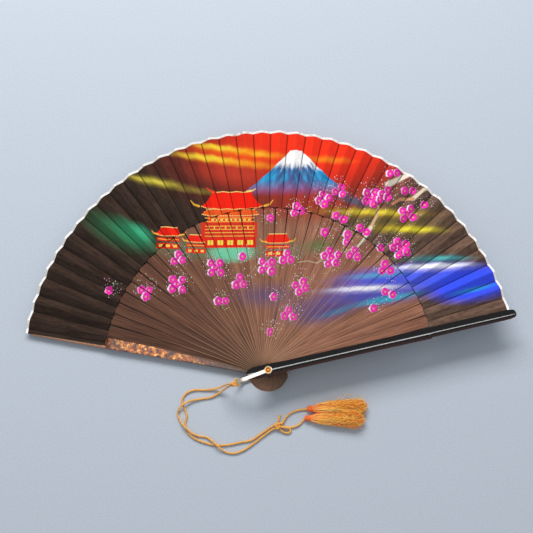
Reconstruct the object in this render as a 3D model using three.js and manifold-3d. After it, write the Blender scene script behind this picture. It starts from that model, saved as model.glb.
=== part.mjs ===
// A folding hand fan, open: 36 flat wooden ribs between two lacquered guards, stacked on one
// rivet, with a pleated cloth leaf, a bound rim, and a metal bail that carries a tasselled cord.
// Millimetres, +Z up. The rivet's axis is Z, its lower head stands on z = 0, and +Y is the middle
// of the open fan. Azimuths are in degrees, counter-clockwise from +X.
import * as THREE from 'three';
import Module from 'manifold-3d';
import { mergeVertices } from 'three/addons/utils/BufferGeometryUtils.js';

const wasm = await Module();
wasm.setup();

// Driving dimensions
const RIB_COUNT = 36;
const PITCH = 4.25; // degrees between neighbouring sticks when open
const SHOULDER_R = 127.4; // where a rib's wide blade steps down to its slip
const LEAF_R = [128, 188.7];
const RIM_R = [188.9, 190];
const SLIP_END_R = 186;
const FRONT_TIP_R = 194.5;
const REAR_TIP_R = 190;

// Heights, from the floor up
const CLEARANCE = 0.3;
const LAYER_GAP = 0.12; // air between neighbouring sticks
const RIVET_HEAD_HEIGHT = 0.9;
const WASHER_THICKNESS = 0.4;
const BAIL_THICKNESS = 0.7;
const GUARD_THICKNESS = 2.6;
const GUARD_CROWN = 1.1; // how much thinner a guard is at its long edges
const GUARD_RELIEF = 0.8; // how far a guard's flat face steps back beyond the ribs' shoulders
const RIB_THICKNESS = 0.34;
const SLIP_THICKNESS = 0.18;
const LAYER = RIB_THICKNESS + LAYER_GAP;
const BAIL_BOTTOM = RIVET_HEAD_HEIGHT + CLEARANCE;
const REAR_GUARD_BOTTOM = BAIL_BOTTOM + BAIL_THICKNESS + CLEARANCE;
const REAR_GUARD_TOP = REAR_GUARD_BOTTOM + GUARD_THICKNESS;
const FIRST_RIB_BOTTOM = REAR_GUARD_TOP + LAYER_GAP;
const FRONT_GUARD_BOTTOM = FIRST_RIB_BOTTOM + RIB_COUNT * LAYER;
const BAIL_TOP = FRONT_GUARD_BOTTOM + GUARD_THICKNESS + CLEARANCE + BAIL_THICKNESS;
const WASHER_BOTTOM = BAIL_TOP + CLEARANCE;
const RIVET_TOP = WASHER_BOTTOM + WASHER_THICKNESS + CLEARANCE;

// Rivet and bail
const SHANK_R = 1.3;
const RIVET_HEAD_R = 2.6;
const RIVET_CROWN_R = 1.8;
const HOLE_R = 1.65;
const HOLE_SIDES = 12;
const ROUND_SIDES = 16;
const BAIL_AZIMUTH = 199.5;
const BAIL_REACH = 25.5;
const BAIL_WIDTH = 3;
const BAIL_EYE_R = 3;
const BAIL_BEND_R = 7;

// Leaf
const PLEAT_HEIGHT = 1.6; // half the height of a pleat at the rim; it shrinks in step with the radius
const LEAF_THICKNESS = 0.3;
const LEAF_ROWS = 4;
const RIM_THICKNESS = 0.5;
const GLUE_GAP = 0.15;
const LEAF_LIFT = LEAF_THICKNESS / 2 + SLIP_THICKNESS / 2 + GLUE_GAP; // leaf's middle over a slip's
const LEAF_START = 169.65; // azimuth of the leaf's free edge on the rear guard

// Cord
const CORD_R = 0.8;
const CORD_SIDES = 8;
const CORD_STEP = 4.8;

// Routes of the cord, each a list of [x, y, z] by hand. Strand B crosses over strand A in low humps.
const STRAND_A = [
  [-27.7, -9.2, 17.2], [-30.6, -9.4, 13], [-34, -10.2, 7], [-38.8, -12, 2.6], [-48, -13.1, 0.9],
  [-57.4, -13, 0.9], [-64, -15.8, 0.9], [-66.8, -21.1, 0.9], [-65, -26.5, 0.9], [-63.2, -32, 0.9],
  [-64.4, -38, 0.9], [-62.8, -44.7, 0.9], [-57.8, -49.6, 0.9], [-48.7, -53.4, 0.9],
  [-41.8, -55.1, 0.9], [-32.6, -55.3, 0.9], [-21.8, -53.5, 0.9], [-13.6, -52, 0.9],
  [-5.5, -46.9, 0.9], [2.6, -42, 1.6],
];
const STRAND_B = [
  [-27.9, -10.4, 14.6], [-30.9, -11.6, 9.6], [-34, -13.2, 4.8], [-38, -15.6, 1.7], [-43.6, -18.6, 0.9],
  [-52.1, -19.9, 0.9], [-61, -21.4, 2], [-66, -23.9, 2.9], [-69.4, -27.8, 1.9], [-70.2, -31.2, 0.9],
  [-67.2, -37.6, 2.1], [-63.8, -41.8, 2.9], [-60, -45.2, 2.1], [-54.8, -47.8, 0.9],
  [-48, -49.2, 0.9], [-43.8, -51.9, 2.1], [-40.6, -55.1, 2.9], [-37.4, -58, 2.1], [-32.7, -61, 0.9],
  [-26.6, -61.6, 0.9], [-19.8, -59.4, 0.9], [-12.4, -54.9, 0.9], [-4.8, -49.4, 0.9], [3, -44.2, 1.6],
];
const TASSEL_LEAD_UPPER = [
  [10.4, -39.2, 1.6], [13.2, -35.6, 1], [17.4, -32.2, 0.9], [22.7, -30.4, 0.9], [27.4, -29.4, 1.2],
];
const TASSEL_LEAD_LOWER = [
  [11, -42.6, 1.7], [15.4, -43.3, 1], [20.4, -42.7, 0.9], [23.4, -40.2, 0.9], [25.4, -37.4, 1.3],
];
const KNOT_TAIL = [[7.3, -38.3, 1.7], [7.9, -36, 1.1], [8.8, -33.4, 0.9]];
const KNOT_LOOP = [
  [8.2, -44.4, 1.7], [10.4, -46.6, 1.1], [13.6, -47.6, 0.9], [16.2, -46.8, 0.9],
];
const KNOT_CENTRE = [7, -41.6, 1.9];
const KNOT_RADII = [3.4, 2.9, 1.8];

// Tassels: where the head starts and which way the tassel lies
const TASSELS = {
  upper: { start: [27.9, -29.3, 2.1], azimuth: 2.2 },
  lower: { start: [25.9, -36.8, 2.1], azimuth: -5 },
};
const TASSEL_HEAD = [[0, 0], [1.2, 0], [1.9, 0.9], [2, 3.2], [1.7, 3.9], [0, 3.9]];
const TASSEL_SKIRT = [
  [0, 4.2], [1.8, 4.2], [3.4, 8], [4.4, 15], [4.9, 27], [5.6, 40], [4.9, 46.5], [0, 47.5],
];
const TASSEL_FLATNESS = 0.6; // height over width of a tassel that lies on the floor
const TASSEL_RISE = 2; // degrees by which a tassel's middle rises towards its thicker end

// A rib's outline: [distance from the rivet, half width]
const BLADE = [
  [-15.8, 0.9], [-15, 2.3], [-13, 3.6], [-9, 4.3], [0, 4.2], [18, 3.8], [45, 3.2], [75, 3.2],
  [100, 3.85], [118, 4.45], [SHOULDER_R - 0.2, 4.75],
];
// A slip turns from its blade's plane to the leaf's panel in small steps over its neck.
const NECK_LENGTH = 0.5;
const SLIP_STATIONS = [
  SHOULDER_R, SHOULDER_R + NECK_LENGTH / 3, SHOULDER_R + NECK_LENGTH * 2 / 3,
  SHOULDER_R + NECK_LENGTH, 157, SLIP_END_R,
];
const SLIP_HALF_WIDTH = 1.5;

// A guard's outline: [distance from the rivet, half width towards the leaf, half width outwards]
const GUARD = [
  [-16.8, 1, 1], [-15.8, 2.6, 2.6], [-13.4, 4, 4], [-9, 4.6, 4.6], [0, 4.5, 4.5], [30, 4, 4],
  [80, 4, 4], [SHOULDER_R - 1.4, 4.4, 4.4], [SHOULDER_R - 0.4, 4.4, 4.4],
  [SHOULDER_R + 0.6, 4.4, 3.5],
];
// A guard's tip: [distance from its end, half width towards the leaf, half width outwards]
const GUARD_TIP = [[6.5, 4.2, 3.3], [1.5, 3.4, 2.6], [0, 2, 1.4]];
const RELIEF_START = SHOULDER_R - 1;

const material = (color, roughness, metalness) =>
  new THREE.MeshStandardMaterial({ color, roughness, metalness });
const MATERIALS = {
  wood: material('#6b4a3e', 0.6, 0),
  copperLacquer: material('#8a5126', 0.4, 0.3),
  blackLacquer: material('#14100f', 0.15, 0),
  copper: material('#b06a3a', 0.4, 1),
  brass: material('#c9a25a', 0.35, 1),
  steel: material('#c9c2b4', 0.3, 1),
  cloth: material('#3e302b', 0.9, 0),
  binding: material('#e6e2da', 0.5, 0),
  cord: material('#e8a23c', 0.8, 0),
  tassel: material('#e87a1e', 0.8, 0),
};

const radians = THREE.MathUtils.degToRad;
const lerp = THREE.MathUtils.lerp;

// Azimuth of the middle of stick i: 0 is the rear guard, the last is the front guard.
const stickAzimuth = (i) => 90 + ((RIB_COUNT + 1) / 2 - i) * PITCH;
// Azimuth of the fold over the gap before stick i.
const gapAzimuth = (i) => stickAzimuth(i) + PITCH / 2;
const ribBottom = (i) => FIRST_RIB_BOTTOM + (i - 1) * LAYER;
const pleatHeight = (r) => PLEAT_HEIGHT * r / RIM_R[1];

// A box of the given segments whose points are moved to place(u, v, w), u from 0 to the number of
// lengthwise segments and v and w from -1 to 1.
function formedBox(lengthwise, across, place) {
  const geometry = new THREE.BoxGeometry(lengthwise, 2, 2, lengthwise, across, 1);
  const position = geometry.attributes.position;
  for (let k = 0; k < position.count; k++) {
    const u = Math.round(position.getX(k) + lengthwise / 2);
    position.setXYZ(k, ...place(u, position.getY(k), position.getZ(k)));
  }
  geometry.deleteAttribute('normal');
  geometry.deleteAttribute('uv');
  return mergeVertices(geometry);
}

function toSolid(geometry) {
  const plain = geometry.clone();
  plain.deleteAttribute('normal');
  plain.deleteAttribute('uv');
  const merged = mergeVertices(plain);
  return new wasm.Manifold(new wasm.Mesh({
    numProp: 3,
    vertProperties: new Float32Array(merged.attributes.position.array),
    triVerts: new Uint32Array(merged.index.array),
  }));
}

function toGeometry(solid) {
  const mesh = solid.getMesh();
  const geometry = new THREE.BufferGeometry();
  geometry.setAttribute('position', new THREE.BufferAttribute(mesh.vertProperties, 3));
  geometry.setIndex(new THREE.BufferAttribute(mesh.triVerts, 1));
  return geometry;
}

// A tall cylinder on the rivet's axis, for the holes.
function axisCylinder(radius, height, sides) {
  const cylinder = new THREE.CylinderGeometry(radius, radius, height, sides);
  return toSolid(cylinder.rotateX(Math.PI / 2));
}

const drilled = (geometry) =>
  toGeometry(toSolid(geometry).subtract(axisCylinder(HOLE_R, 4 * BAIL_TOP, HOLE_SIDES)));

// A rib along +X, its blade's underside on z = 0. The slip lies under the leaf's panel on the
// side of the fold before it, and tilts with that panel from just beyond its neck.
function ribGeometry() {
  const stations = BLADE.length + SLIP_STATIONS.length;
  return drilled(formedBox(stations - 1, 1, (u, v, w) => {
    if (u < BLADE.length) {
      const [r, half] = BLADE[u];
      return [r, half * v, RIB_THICKNESS * (w + 1) / 2];
    }
    const r = SLIP_STATIONS[u - BLADE.length];
    const y = r * Math.sin(radians(PITCH / 4)) + SLIP_HALF_WIDTH * v;
    const share = THREE.MathUtils.radToDeg(Math.atan2(y, r)) / (PITCH / 2);
    const turn = Math.min(1, (r - SHOULDER_R) / NECK_LENGTH);
    const tilt = pleatHeight(r) * (2 * share - 1) * turn;
    return [r, y, RIB_THICKNESS / 2 + tilt + SLIP_THICKNESS / 2 * w];
  }));
}

// A guard along +X with its flat face on z = 0, its rounded face up and the leaf towards +Y.
function guardGeometry(tipR) {
  const tip = GUARD_TIP.map(([fromEnd, ...halves]) => [tipR - fromEnd, ...halves]);
  const outline = [...GUARD, ...tip];
  return drilled(formedBox(outline.length - 1, 4, (u, v, w) => {
    const [r, towardsLeaf, outwards] = outline[u];
    const half = v > 0 ? towardsLeaf : outwards;
    const top = GUARD_THICKNESS - GUARD_CROWN * v * v;
    const bottom = r > RELIEF_START ? GUARD_RELIEF : 0;
    return [r, half * v, w > 0 ? top : bottom];
  }));
}

// The leaf's fold lines, in order from the rear guard: azimuth, height of the middle of the
// panels there, and 1 on a ridge, -1 in a valley, 0 where the leaf lies flat on a guard.
function foldLines() {
  const fromGuard = LEAF_THICKNESS / 2 + GLUE_GAP - GUARD_RELIEF;
  const flatRear = REAR_GUARD_TOP + fromGuard;
  const flatFront = FRONT_GUARD_BOTTOM - fromGuard;
  const lines = [[LEAF_START, flatRear, 0], [stickAzimuth(0), flatRear, 0]];
  for (let i = 1; i <= RIB_COUNT; i++) {
    const middle = ribBottom(i) + RIB_THICKNESS / 2 + LEAF_LIFT;
    lines.push([gapAzimuth(i), middle, 1], [stickAzimuth(i), middle, -1]);
  }
  lines.push([gapAzimuth(RIB_COUNT + 1), flatFront, 0], [stickAzimuth(RIB_COUNT + 1), flatFront, 0]);
  return lines;
}

// A pleated band between two radii.
function pleatedGeometry([inner, outer], rows, thickness) {
  const lines = foldLines();
  return formedBox(lines.length - 1, rows, (u, v, w) => {
    const [azimuth, middle, side] = lines[u];
    const r = lerp(inner, outer, (v + 1) / 2);
    const z = middle + side * pleatHeight(r) + thickness / 2 * w;
    return [r * Math.cos(radians(azimuth)), r * Math.sin(radians(azimuth)), z];
  });
}

function lathe(profile, sides) {
  const points = profile.map(([x, y]) => new THREE.Vector2(x, y));
  return new THREE.LatheGeometry(points, sides).rotateX(Math.PI / 2);
}

function rivetGeometry() {
  return lathe([
    [0, 0], [RIVET_HEAD_R - 0.3, 0], [RIVET_HEAD_R, 0.3], [RIVET_HEAD_R, RIVET_HEAD_HEIGHT],
    [SHANK_R, RIVET_HEAD_HEIGHT], [SHANK_R, RIVET_TOP], [RIVET_CROWN_R, RIVET_TOP],
    [RIVET_CROWN_R * 0.95, RIVET_TOP + 0.4], [RIVET_CROWN_R * 0.6, RIVET_TOP + 0.8],
    [0, RIVET_TOP + 0.95],
  ], ROUND_SIDES);
}

function washerGeometry() {
  const inner = SHANK_R + CLEARANCE;
  const outer = RIVET_HEAD_R;
  return lathe([
    [inner, 0], [outer, 0], [outer, WASHER_THICKNESS], [inner, WASHER_THICKNESS], [inner, 0],
  ], ROUND_SIDES);
}

// A U of flat strip round the stack, along +X, with an eye on the rivet at each end.
function bailGeometry() {
  const strip = new THREE.Shape();
  const bend = (r, reach, bottom, top, clockwise) => {
    const arcs = [[bottom + r, -Math.PI / 2, 0], [top - r, 0, Math.PI / 2]];
    for (const [z, from, to] of clockwise ? arcs.reverse() : arcs) {
      strip.absarc(reach - r, z, r, clockwise ? to : from, clockwise ? from : to, clockwise);
    }
  };
  const inner = BAIL_BEND_R - BAIL_THICKNESS;
  strip.moveTo(0, BAIL_BOTTOM);
  bend(BAIL_BEND_R, BAIL_REACH, BAIL_BOTTOM, BAIL_TOP, false);
  strip.lineTo(0, BAIL_TOP);
  strip.lineTo(0, BAIL_TOP - BAIL_THICKNESS);
  bend(inner, BAIL_REACH - BAIL_THICKNESS, BAIL_BOTTOM + BAIL_THICKNESS, BAIL_TOP - BAIL_THICKNESS, true);
  strip.lineTo(0, BAIL_BOTTOM + BAIL_THICKNESS);
  const extruded = new THREE.ExtrudeGeometry(strip, {
    depth: BAIL_WIDTH, bevelEnabled: false, curveSegments: 5,
  });
  extruded.rotateX(Math.PI / 2).translate(0, BAIL_WIDTH / 2, 0);
  let solid = toSolid(extruded);
  for (const bottom of [BAIL_BOTTOM, BAIL_TOP - BAIL_THICKNESS]) {
    const eye = axisCylinder(BAIL_EYE_R, BAIL_THICKNESS, ROUND_SIDES);
    solid = solid.add(eye.translate([0, 0, bottom + BAIL_THICKNESS / 2]));
  }
  return toGeometry(solid.subtract(axisCylinder(HOLE_R, 4 * BAIL_TOP, HOLE_SIDES)));
}

// A tube along a smooth curve through the given points.
function cordGeometry(route) {
  const curve = new THREE.CatmullRomCurve3(route.map((p) => new THREE.Vector3(...p)), false, 'centripetal');
  const section = new THREE.Shape();
  section.absarc(0, 0, CORD_R, 0, 2 * Math.PI, false);
  return new THREE.ExtrudeGeometry(section, {
    steps: Math.max(3, Math.round(curve.getLength() / CORD_STEP)),
    curveSegments: CORD_SIDES,
    extrudePath: curve,
    bevelEnabled: false,
  });
}

// The turn of cord round the bail's upright.
function hitchGeometry() {
  const middle = BAIL_WIDTH / 2 + 2 * CLEARANCE + CORD_R;
  const section = [];
  for (let k = 0; k <= CORD_SIDES; k++) {
    const angle = 2 * Math.PI * k / CORD_SIDES;
    section.push([middle + CORD_R * Math.cos(angle), CORD_R * Math.sin(angle)]);
  }
  return lathe(section, 12);
}

// A flattened solid of revolution that lies along +X on the floor.
function tasselGeometry(profile) {
  const geometry = lathe(profile, 12).rotateY(Math.PI / 2).scale(1, 1, TASSEL_FLATNESS);
  return geometry.rotateY(-radians(TASSEL_RISE));
}

const fan = new THREE.Group();

function place(parent, name, geometry, look, position = [0, 0, 0], azimuth = 0) {
  const mesh = new THREE.Mesh(geometry, look);
  mesh.name = name;
  mesh.position.set(...position);
  mesh.rotation.z = radians(azimuth);
  parent.add(mesh);
  return mesh;
}

// Sticks
const rib = ribGeometry();
for (let i = 1; i <= RIB_COUNT; i++) {
  const name = `rib_${String(i).padStart(2, '0')}`;
  place(fan, name, rib, MATERIALS.wood, [0, 0, ribBottom(i)], stickAzimuth(i));
}
// The rear guard's rounded face is underneath, so it is turned over about its own length.
const rearGuard = guardGeometry(REAR_TIP_R).rotateX(Math.PI);
place(fan, 'rear_guard', rearGuard, MATERIALS.copperLacquer, [0, 0, REAR_GUARD_TOP], stickAzimuth(0));
place(fan, 'front_guard', guardGeometry(FRONT_TIP_R), MATERIALS.blackLacquer,
  [0, 0, FRONT_GUARD_BOTTOM], stickAzimuth(RIB_COUNT + 1));

// Leaf
place(fan, 'leaf', pleatedGeometry(LEAF_R, LEAF_ROWS, LEAF_THICKNESS), MATERIALS.cloth);
place(fan, 'rim_binding', pleatedGeometry(RIM_R, 1, RIM_THICKNESS), MATERIALS.binding);

// Pivot
place(fan, 'rivet', rivetGeometry(), MATERIALS.copper);
place(fan, 'rivet_washer', washerGeometry(), MATERIALS.brass, [0, 0, WASHER_BOTTOM]);

// Bail and cord
const bailGroup = new THREE.Group();
bailGroup.rotation.z = radians(BAIL_AZIMUTH);
fan.add(bailGroup);
place(bailGroup, 'bail', bailGeometry(), MATERIALS.steel);
place(bailGroup, 'cord_hitch', hitchGeometry(), MATERIALS.cord, [BAIL_REACH - BAIL_THICKNESS / 2, 0, 16]);
place(fan, 'cord_strand_a', cordGeometry(STRAND_A), MATERIALS.cord);
place(fan, 'cord_strand_b', cordGeometry(STRAND_B), MATERIALS.cord);
place(fan, 'tassel_lead_upper', cordGeometry(TASSEL_LEAD_UPPER), MATERIALS.cord);
place(fan, 'tassel_lead_lower', cordGeometry(TASSEL_LEAD_LOWER), MATERIALS.cord);
place(fan, 'knot_tail', cordGeometry(KNOT_TAIL), MATERIALS.cord);
place(fan, 'knot_loop', cordGeometry(KNOT_LOOP), MATERIALS.cord);
const knot = new THREE.SphereGeometry(1, 10, 6).rotateX(Math.PI / 2).scale(...KNOT_RADII);
place(fan, 'cord_knot', knot, MATERIALS.cord, KNOT_CENTRE);
for (const [side, { start, azimuth }] of Object.entries(TASSELS)) {
  place(fan, `tassel_head_${side}`, tasselGeometry(TASSEL_HEAD), MATERIALS.tassel, start, azimuth);
  place(fan, `tassel_skirt_${side}`, tasselGeometry(TASSEL_SKIRT), MATERIALS.tassel, start, azimuth);
}

export default fan;
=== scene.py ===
import math
import random

import bmesh
import bpy
import numpy as np
from mathutils import Matrix, Vector, noise


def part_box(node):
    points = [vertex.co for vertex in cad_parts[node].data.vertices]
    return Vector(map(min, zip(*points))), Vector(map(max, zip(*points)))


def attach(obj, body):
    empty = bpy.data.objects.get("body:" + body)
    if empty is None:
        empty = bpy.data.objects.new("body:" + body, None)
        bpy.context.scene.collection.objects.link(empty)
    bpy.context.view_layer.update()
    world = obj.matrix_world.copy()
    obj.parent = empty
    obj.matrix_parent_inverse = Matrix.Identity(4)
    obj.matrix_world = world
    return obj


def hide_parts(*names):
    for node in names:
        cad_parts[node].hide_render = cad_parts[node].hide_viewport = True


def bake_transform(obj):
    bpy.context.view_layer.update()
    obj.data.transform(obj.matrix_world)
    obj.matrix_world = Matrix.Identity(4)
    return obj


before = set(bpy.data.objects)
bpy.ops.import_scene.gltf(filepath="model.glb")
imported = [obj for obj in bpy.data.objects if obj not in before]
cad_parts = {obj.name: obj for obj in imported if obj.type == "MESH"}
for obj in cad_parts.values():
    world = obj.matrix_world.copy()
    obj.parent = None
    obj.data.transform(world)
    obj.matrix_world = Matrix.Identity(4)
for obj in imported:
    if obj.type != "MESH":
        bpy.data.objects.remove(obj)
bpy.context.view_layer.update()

MM = 0.001

# ---------------------------------------------------------------- the design, as the frame has it
RIB_COUNT = 36
PITCH = 4.25
HALF_PITCH = PITCH / 2
SHOULDER_R = 127.4
LEAF_R = (127.9, 189.2)
RIM_R = (188.7, 190.45)
BLEND_R = 152  # a radius at which make_segment works out the width across half a pitch, which nothing then uses
SLIP_END_R = 186
PLEAT_HEIGHT = 1.6
RIB_THICKNESS = 0.34
SLIP_THICKNESS = 0.18
SLIP_HALF_WIDTH = 1.5
GUARD_THICKNESS = 2.6
GUARD_CROWN = 1.1
GUARD_RELIEF = 0.8
RELIEF_START = SHOULDER_R - 1
HOLE_R = 1.65
SHANK_R = 1.3
BAIL_AZIMUTH = 199.5
BAIL_WIDTH = 3
BAIL_THICKNESS = 0.7
BAIL_BEND_R = 7
BAIL_EYE_R = 3
BAIL_REACH = 25.5
LEAF_START = 169.65

# How far out, and the half width there.
BLADE = [
    (-15.8, 0.5), (-15.6, 1.4), (-15, 2.3), (-13, 3.6), (-9, 4.3), (0, 4.2), (18, 3.8), (45, 3.2),
    (75, 3.2), (100, 3.85), (118, 4.42), (SHOULDER_R - 0.2, 4.72),
]
# How far out, and the half widths there on the leaf's side and on the outer side.
GUARD = [
    (-16.8, 0.6, 0.6), (-16.5, 1.7, 1.7), (-15.8, 2.6, 2.6), (-13.4, 4, 4), (-9, 4.6, 4.6),
    (0, 4.5, 4.5), (30, 4, 4), (80, 4, 4), (126, 4.4, 4.4), (128, 4.4, 3.6),
]
# How far short of its end, and the half widths there, as in GUARD.
GUARD_TIP = [(6.5, 4.2, 3.3), (1.5, 3.4, 2.6), (0.3, 2.3, 1.7), (0, 1.4, 0.8)]
TIP_R = {"rear_guard": 189.9, "front_guard": 194.5}
STRAND_A = [
    (-27.7, -9.2, 17.2), (-30.6, -9.4, 13), (-34, -10.2, 7), (-38.8, -12, 2.6), (-48, -13.1, 0.9),
    (-57.4, -13, 0.9), (-64, -15.8, 0.9), (-66.8, -21.1, 0.9), (-65, -26.5, 0.9), (-63.2, -32, 0.9),
    (-64.4, -38, 0.9), (-62.8, -44.7, 0.9), (-57.8, -49.6, 0.9), (-48.7, -53.4, 0.9),
    (-41.8, -55.1, 0.9), (-32.6, -55.3, 0.9), (-21.8, -53.5, 0.9), (-13.6, -52, 0.9),
    (-5.5, -46.9, 0.9), (2.6, -42, 1.6),
]
STRAND_B = [
    (-27.9, -10.4, 14.6), (-30.9, -11.6, 9.6), (-34, -13.2, 4.8), (-38, -15.6, 1.7),
    (-43.6, -18.6, 0.9), (-52.1, -19.9, 0.9), (-61, -21.4, 2), (-66, -23.9, 2.9),
    (-69.4, -27.8, 1.9), (-70.2, -31.2, 0.9), (-67.2, -37.6, 2.1), (-63.8, -41.8, 2.9),
    (-60, -45.2, 2.1), (-54.8, -47.8, 0.9), (-48, -49.2, 0.9), (-43.8, -51.9, 2.1),
    (-40.6, -55.1, 2.9), (-37.4, -58, 2.1), (-32.7, -61, 0.9), (-26.6, -61.6, 0.9),
    (-19.8, -59.4, 0.9), (-12.4, -54.9, 0.9), (-4.8, -49.4, 0.9), (3, -44.2, 1.6),
]
LEAD_UPPER = [
    (10.4, -39.2, 1.6), (13.2, -35.6, 1), (17.4, -32.2, 0.9), (22.7, -30.4, 0.9), (29, -29.7, 1.2),
]
LEAD_LOWER = [
    (11, -42.6, 1.7), (16, -43.3, 1), (21.4, -42.3, 0.9), (25, -39.8, 0.9), (27.4, -37.2, 1.3),
]
KNOT_TAIL = [(7.3, -38.3, 1.7), (7.9, -36, 1.1), (8.8, -33.4, 0.9)]
KNOT_LOOP = [
    (8.2, -44.2, 1.8), (10.8, -46.7, 1.1), (14.2, -47.5, 0.9), (16.6, -46, 0.9), (15.4, -44, 1.2),
    (12, -43.4, 2.4), (8.8, -42.6, 2.8),
]
KNOT_CENTRE = Vector((7, -41.6, 1.9))
KNOT_RADII = Vector((3.4, 2.9, 1.8))
TASSELS = {"upper": ((29.9, -29.6, 2.1), 1.2), "lower": ((27.9, -36.6, 2.1), -2.5)}
TASSEL_FLATNESS = 0.6
TASSEL_RISE = 2
FLOOR_GAP = 0.28


def low(node):
    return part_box(node)[0] / MM


def high(node):
    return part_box(node)[1] / MM


def stick_azimuth(i):
    """Azimuth of stick i: 0 is the rear guard, 1 to 36 are the ribs, 37 is the front guard."""
    return 90 + ((RIB_COUNT + 1) / 2 - i) * PITCH


def ridge_azimuth(i):
    """Azimuth of the leaf's ridge over the gap before stick i."""
    return stick_azimuth(i) + HALF_PITCH


def pleat_height(r):
    return PLEAT_HEIGHT * r / 190


REAR_GUARD_TOP = high("rear_guard").z
FRONT_GUARD_BOTTOM = low("front_guard").z
LAYER = (low("rib_36").z - low("rib_01").z) / (RIB_COUNT - 1)
FIRST_RIB_BOTTOM = FRONT_GUARD_BOTTOM - RIB_COUNT * LAYER
BAIL_BOTTOM = low("bail").z
BAIL_TOP = high("bail").z


def rib_bottom(i):
    return FIRST_RIB_BOTTOM + (i - 1) * LAYER


def polar(r, azimuth, z):
    a = math.radians(azimuth)
    return (r * math.cos(a), r * math.sin(a), z)


def turned(point, azimuth):
    a = math.radians(azimuth)
    x, y, z = point
    return (x * math.cos(a) - y * math.sin(a), x * math.sin(a) + y * math.cos(a), z)


def lerp(a, b, t):
    return a + (b - a) * t


def smoothstep(a, b, x):
    t = min(1, max(0, (x - a) / (b - a)))
    return t * t * (3 - 2 * t)


def smooth_outline(stations, column):
    """A function of distance that runs smoothly through one column of the stations, never past them."""
    xs = [s[0] for s in stations]
    ys = [s[column] for s in stations]
    secants = [(y1 - y0) / (x1 - x0) for x0, x1, y0, y1 in zip(xs, xs[1:], ys, ys[1:])]
    slopes = [secants[0]]
    for before, after in zip(secants, secants[1:]):
        slopes.append(2 * before * after / (before + after) if before * after > 0 else 0)
    slopes.append(secants[-1])

    def value(x):
        k = min(max(np.searchsorted(xs, x) - 1, 0), len(xs) - 2)
        h = xs[k + 1] - xs[k]
        t = min(1, max(0, (x - xs[k]) / h))
        return (
            (2 * t**3 - 3 * t**2 + 1) * ys[k] + (t**3 - 2 * t**2 + t) * h * slopes[k]
            + (3 * t**2 - 2 * t**3) * ys[k + 1] + (t**3 - t**2) * h * slopes[k + 1]
        )

    return value


# ---------------------------------------------------------------- camera, floor and light
CAMERA_TARGET = Vector((1.2, 82.9, 0)) * MM
CAMERA_DISTANCE = 714.6 * MM
CAMERA_ELEVATION = 80.43
CAMERA_AZIMUTH = -5.95
CAMERA_ROLL = 4.56
CAMERA_LENS = 60.8


def make_camera():
    a, e, roll = (math.radians(x) for x in (CAMERA_AZIMUTH, CAMERA_ELEVATION, CAMERA_ROLL))
    back = Vector((math.sin(a) * math.cos(e), -math.cos(a) * math.cos(e), math.sin(e)))
    level = (-back).cross(Vector((0, 0, 1))).normalized()
    upright = level.cross(-back)
    right = level * math.cos(roll) + upright * math.sin(roll)
    up = upright * math.cos(roll) - level * math.sin(roll)
    data = bpy.data.cameras.new("camera")
    data.sensor_width = 36
    data.lens = CAMERA_LENS
    camera = bpy.data.objects.new("camera", data)
    bpy.context.scene.collection.objects.link(camera)
    camera.matrix_world = Matrix.Translation(CAMERA_TARGET + back * CAMERA_DISTANCE) @ Matrix(
        (right, up, back)
    ).transposed().to_4x4()
    bpy.context.scene.camera = camera


def make_light(name, place, target, size, watts, in_gloss):
    data = bpy.data.lights.new(name, "AREA")
    data.shape = "RECTANGLE"
    data.size, data.size_y = size
    data.energy = watts
    light = bpy.data.objects.new(name, data)
    light.visible_glossy = in_gloss
    light.visible_diffuse = not in_gloss
    bpy.context.scene.collection.objects.link(light)
    light.location = place
    light.rotation_mode = "QUATERNION"
    light.rotation_quaternion = (Vector(target) - Vector(place)).to_track_quat("-Z", "Y")


def make_studio():
    scene = bpy.context.scene
    scene.view_settings.view_transform = "Standard"
    world = bpy.data.worlds.new("soft_room")
    world.use_nodes = True
    world.node_tree.nodes["Background"].inputs["Color"].default_value = (0.93, 0.96, 1, 1)
    world.node_tree.nodes["Background"].inputs["Strength"].default_value = 0.44
    scene.world = world
    make_light("window", (-0.15, 1.15, 0.95), (0, 0.05, 0), (1.1, 0.55), 21.5, in_gloss=False)
    make_light("strip", (0.1, 0, 1.3), (0.1, 0, 0), (1.8, 0.17), 15, in_gloss=True)


make_camera()
make_studio()


# ---------------------------------------------------------------- node helpers
def linear(code, alpha=1):
    """A colour code such as #aa3322 as linear values."""
    parts = [int(code[k:k + 2], 16) / 255 for k in (1, 3, 5)]
    return tuple(c / 12.92 if c < 0.04045 else ((c + 0.055) / 1.055) ** 2.4 for c in parts) + (alpha,)


class Value:
    """An output in the node tree in hand. Arithmetic on it adds nodes to that tree."""

    tree = None

    def __init__(self, socket):
        self.socket = socket

    def __add__(self, other):
        return maths("ADD", self, other)

    def __sub__(self, other):
        return maths("SUBTRACT", self, other)

    def __rsub__(self, other):
        return maths("SUBTRACT", other, self)

    def __mul__(self, other):
        return maths("MULTIPLY", self, other)

    def __truediv__(self, other):
        return maths("DIVIDE", self, other)

    def __rtruediv__(self, other):
        return maths("DIVIDE", other, self)

    def __pow__(self, other):
        return maths("POWER", self, other)

    def __abs__(self):
        return maths("ABSOLUTE", self)

    def __neg__(self):
        return self * -1


def feed(socket, value):
    if isinstance(value, Value):
        Value.tree.links.new(value.socket, socket)
    else:
        socket.default_value = linear(value) if isinstance(value, str) else value


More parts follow.
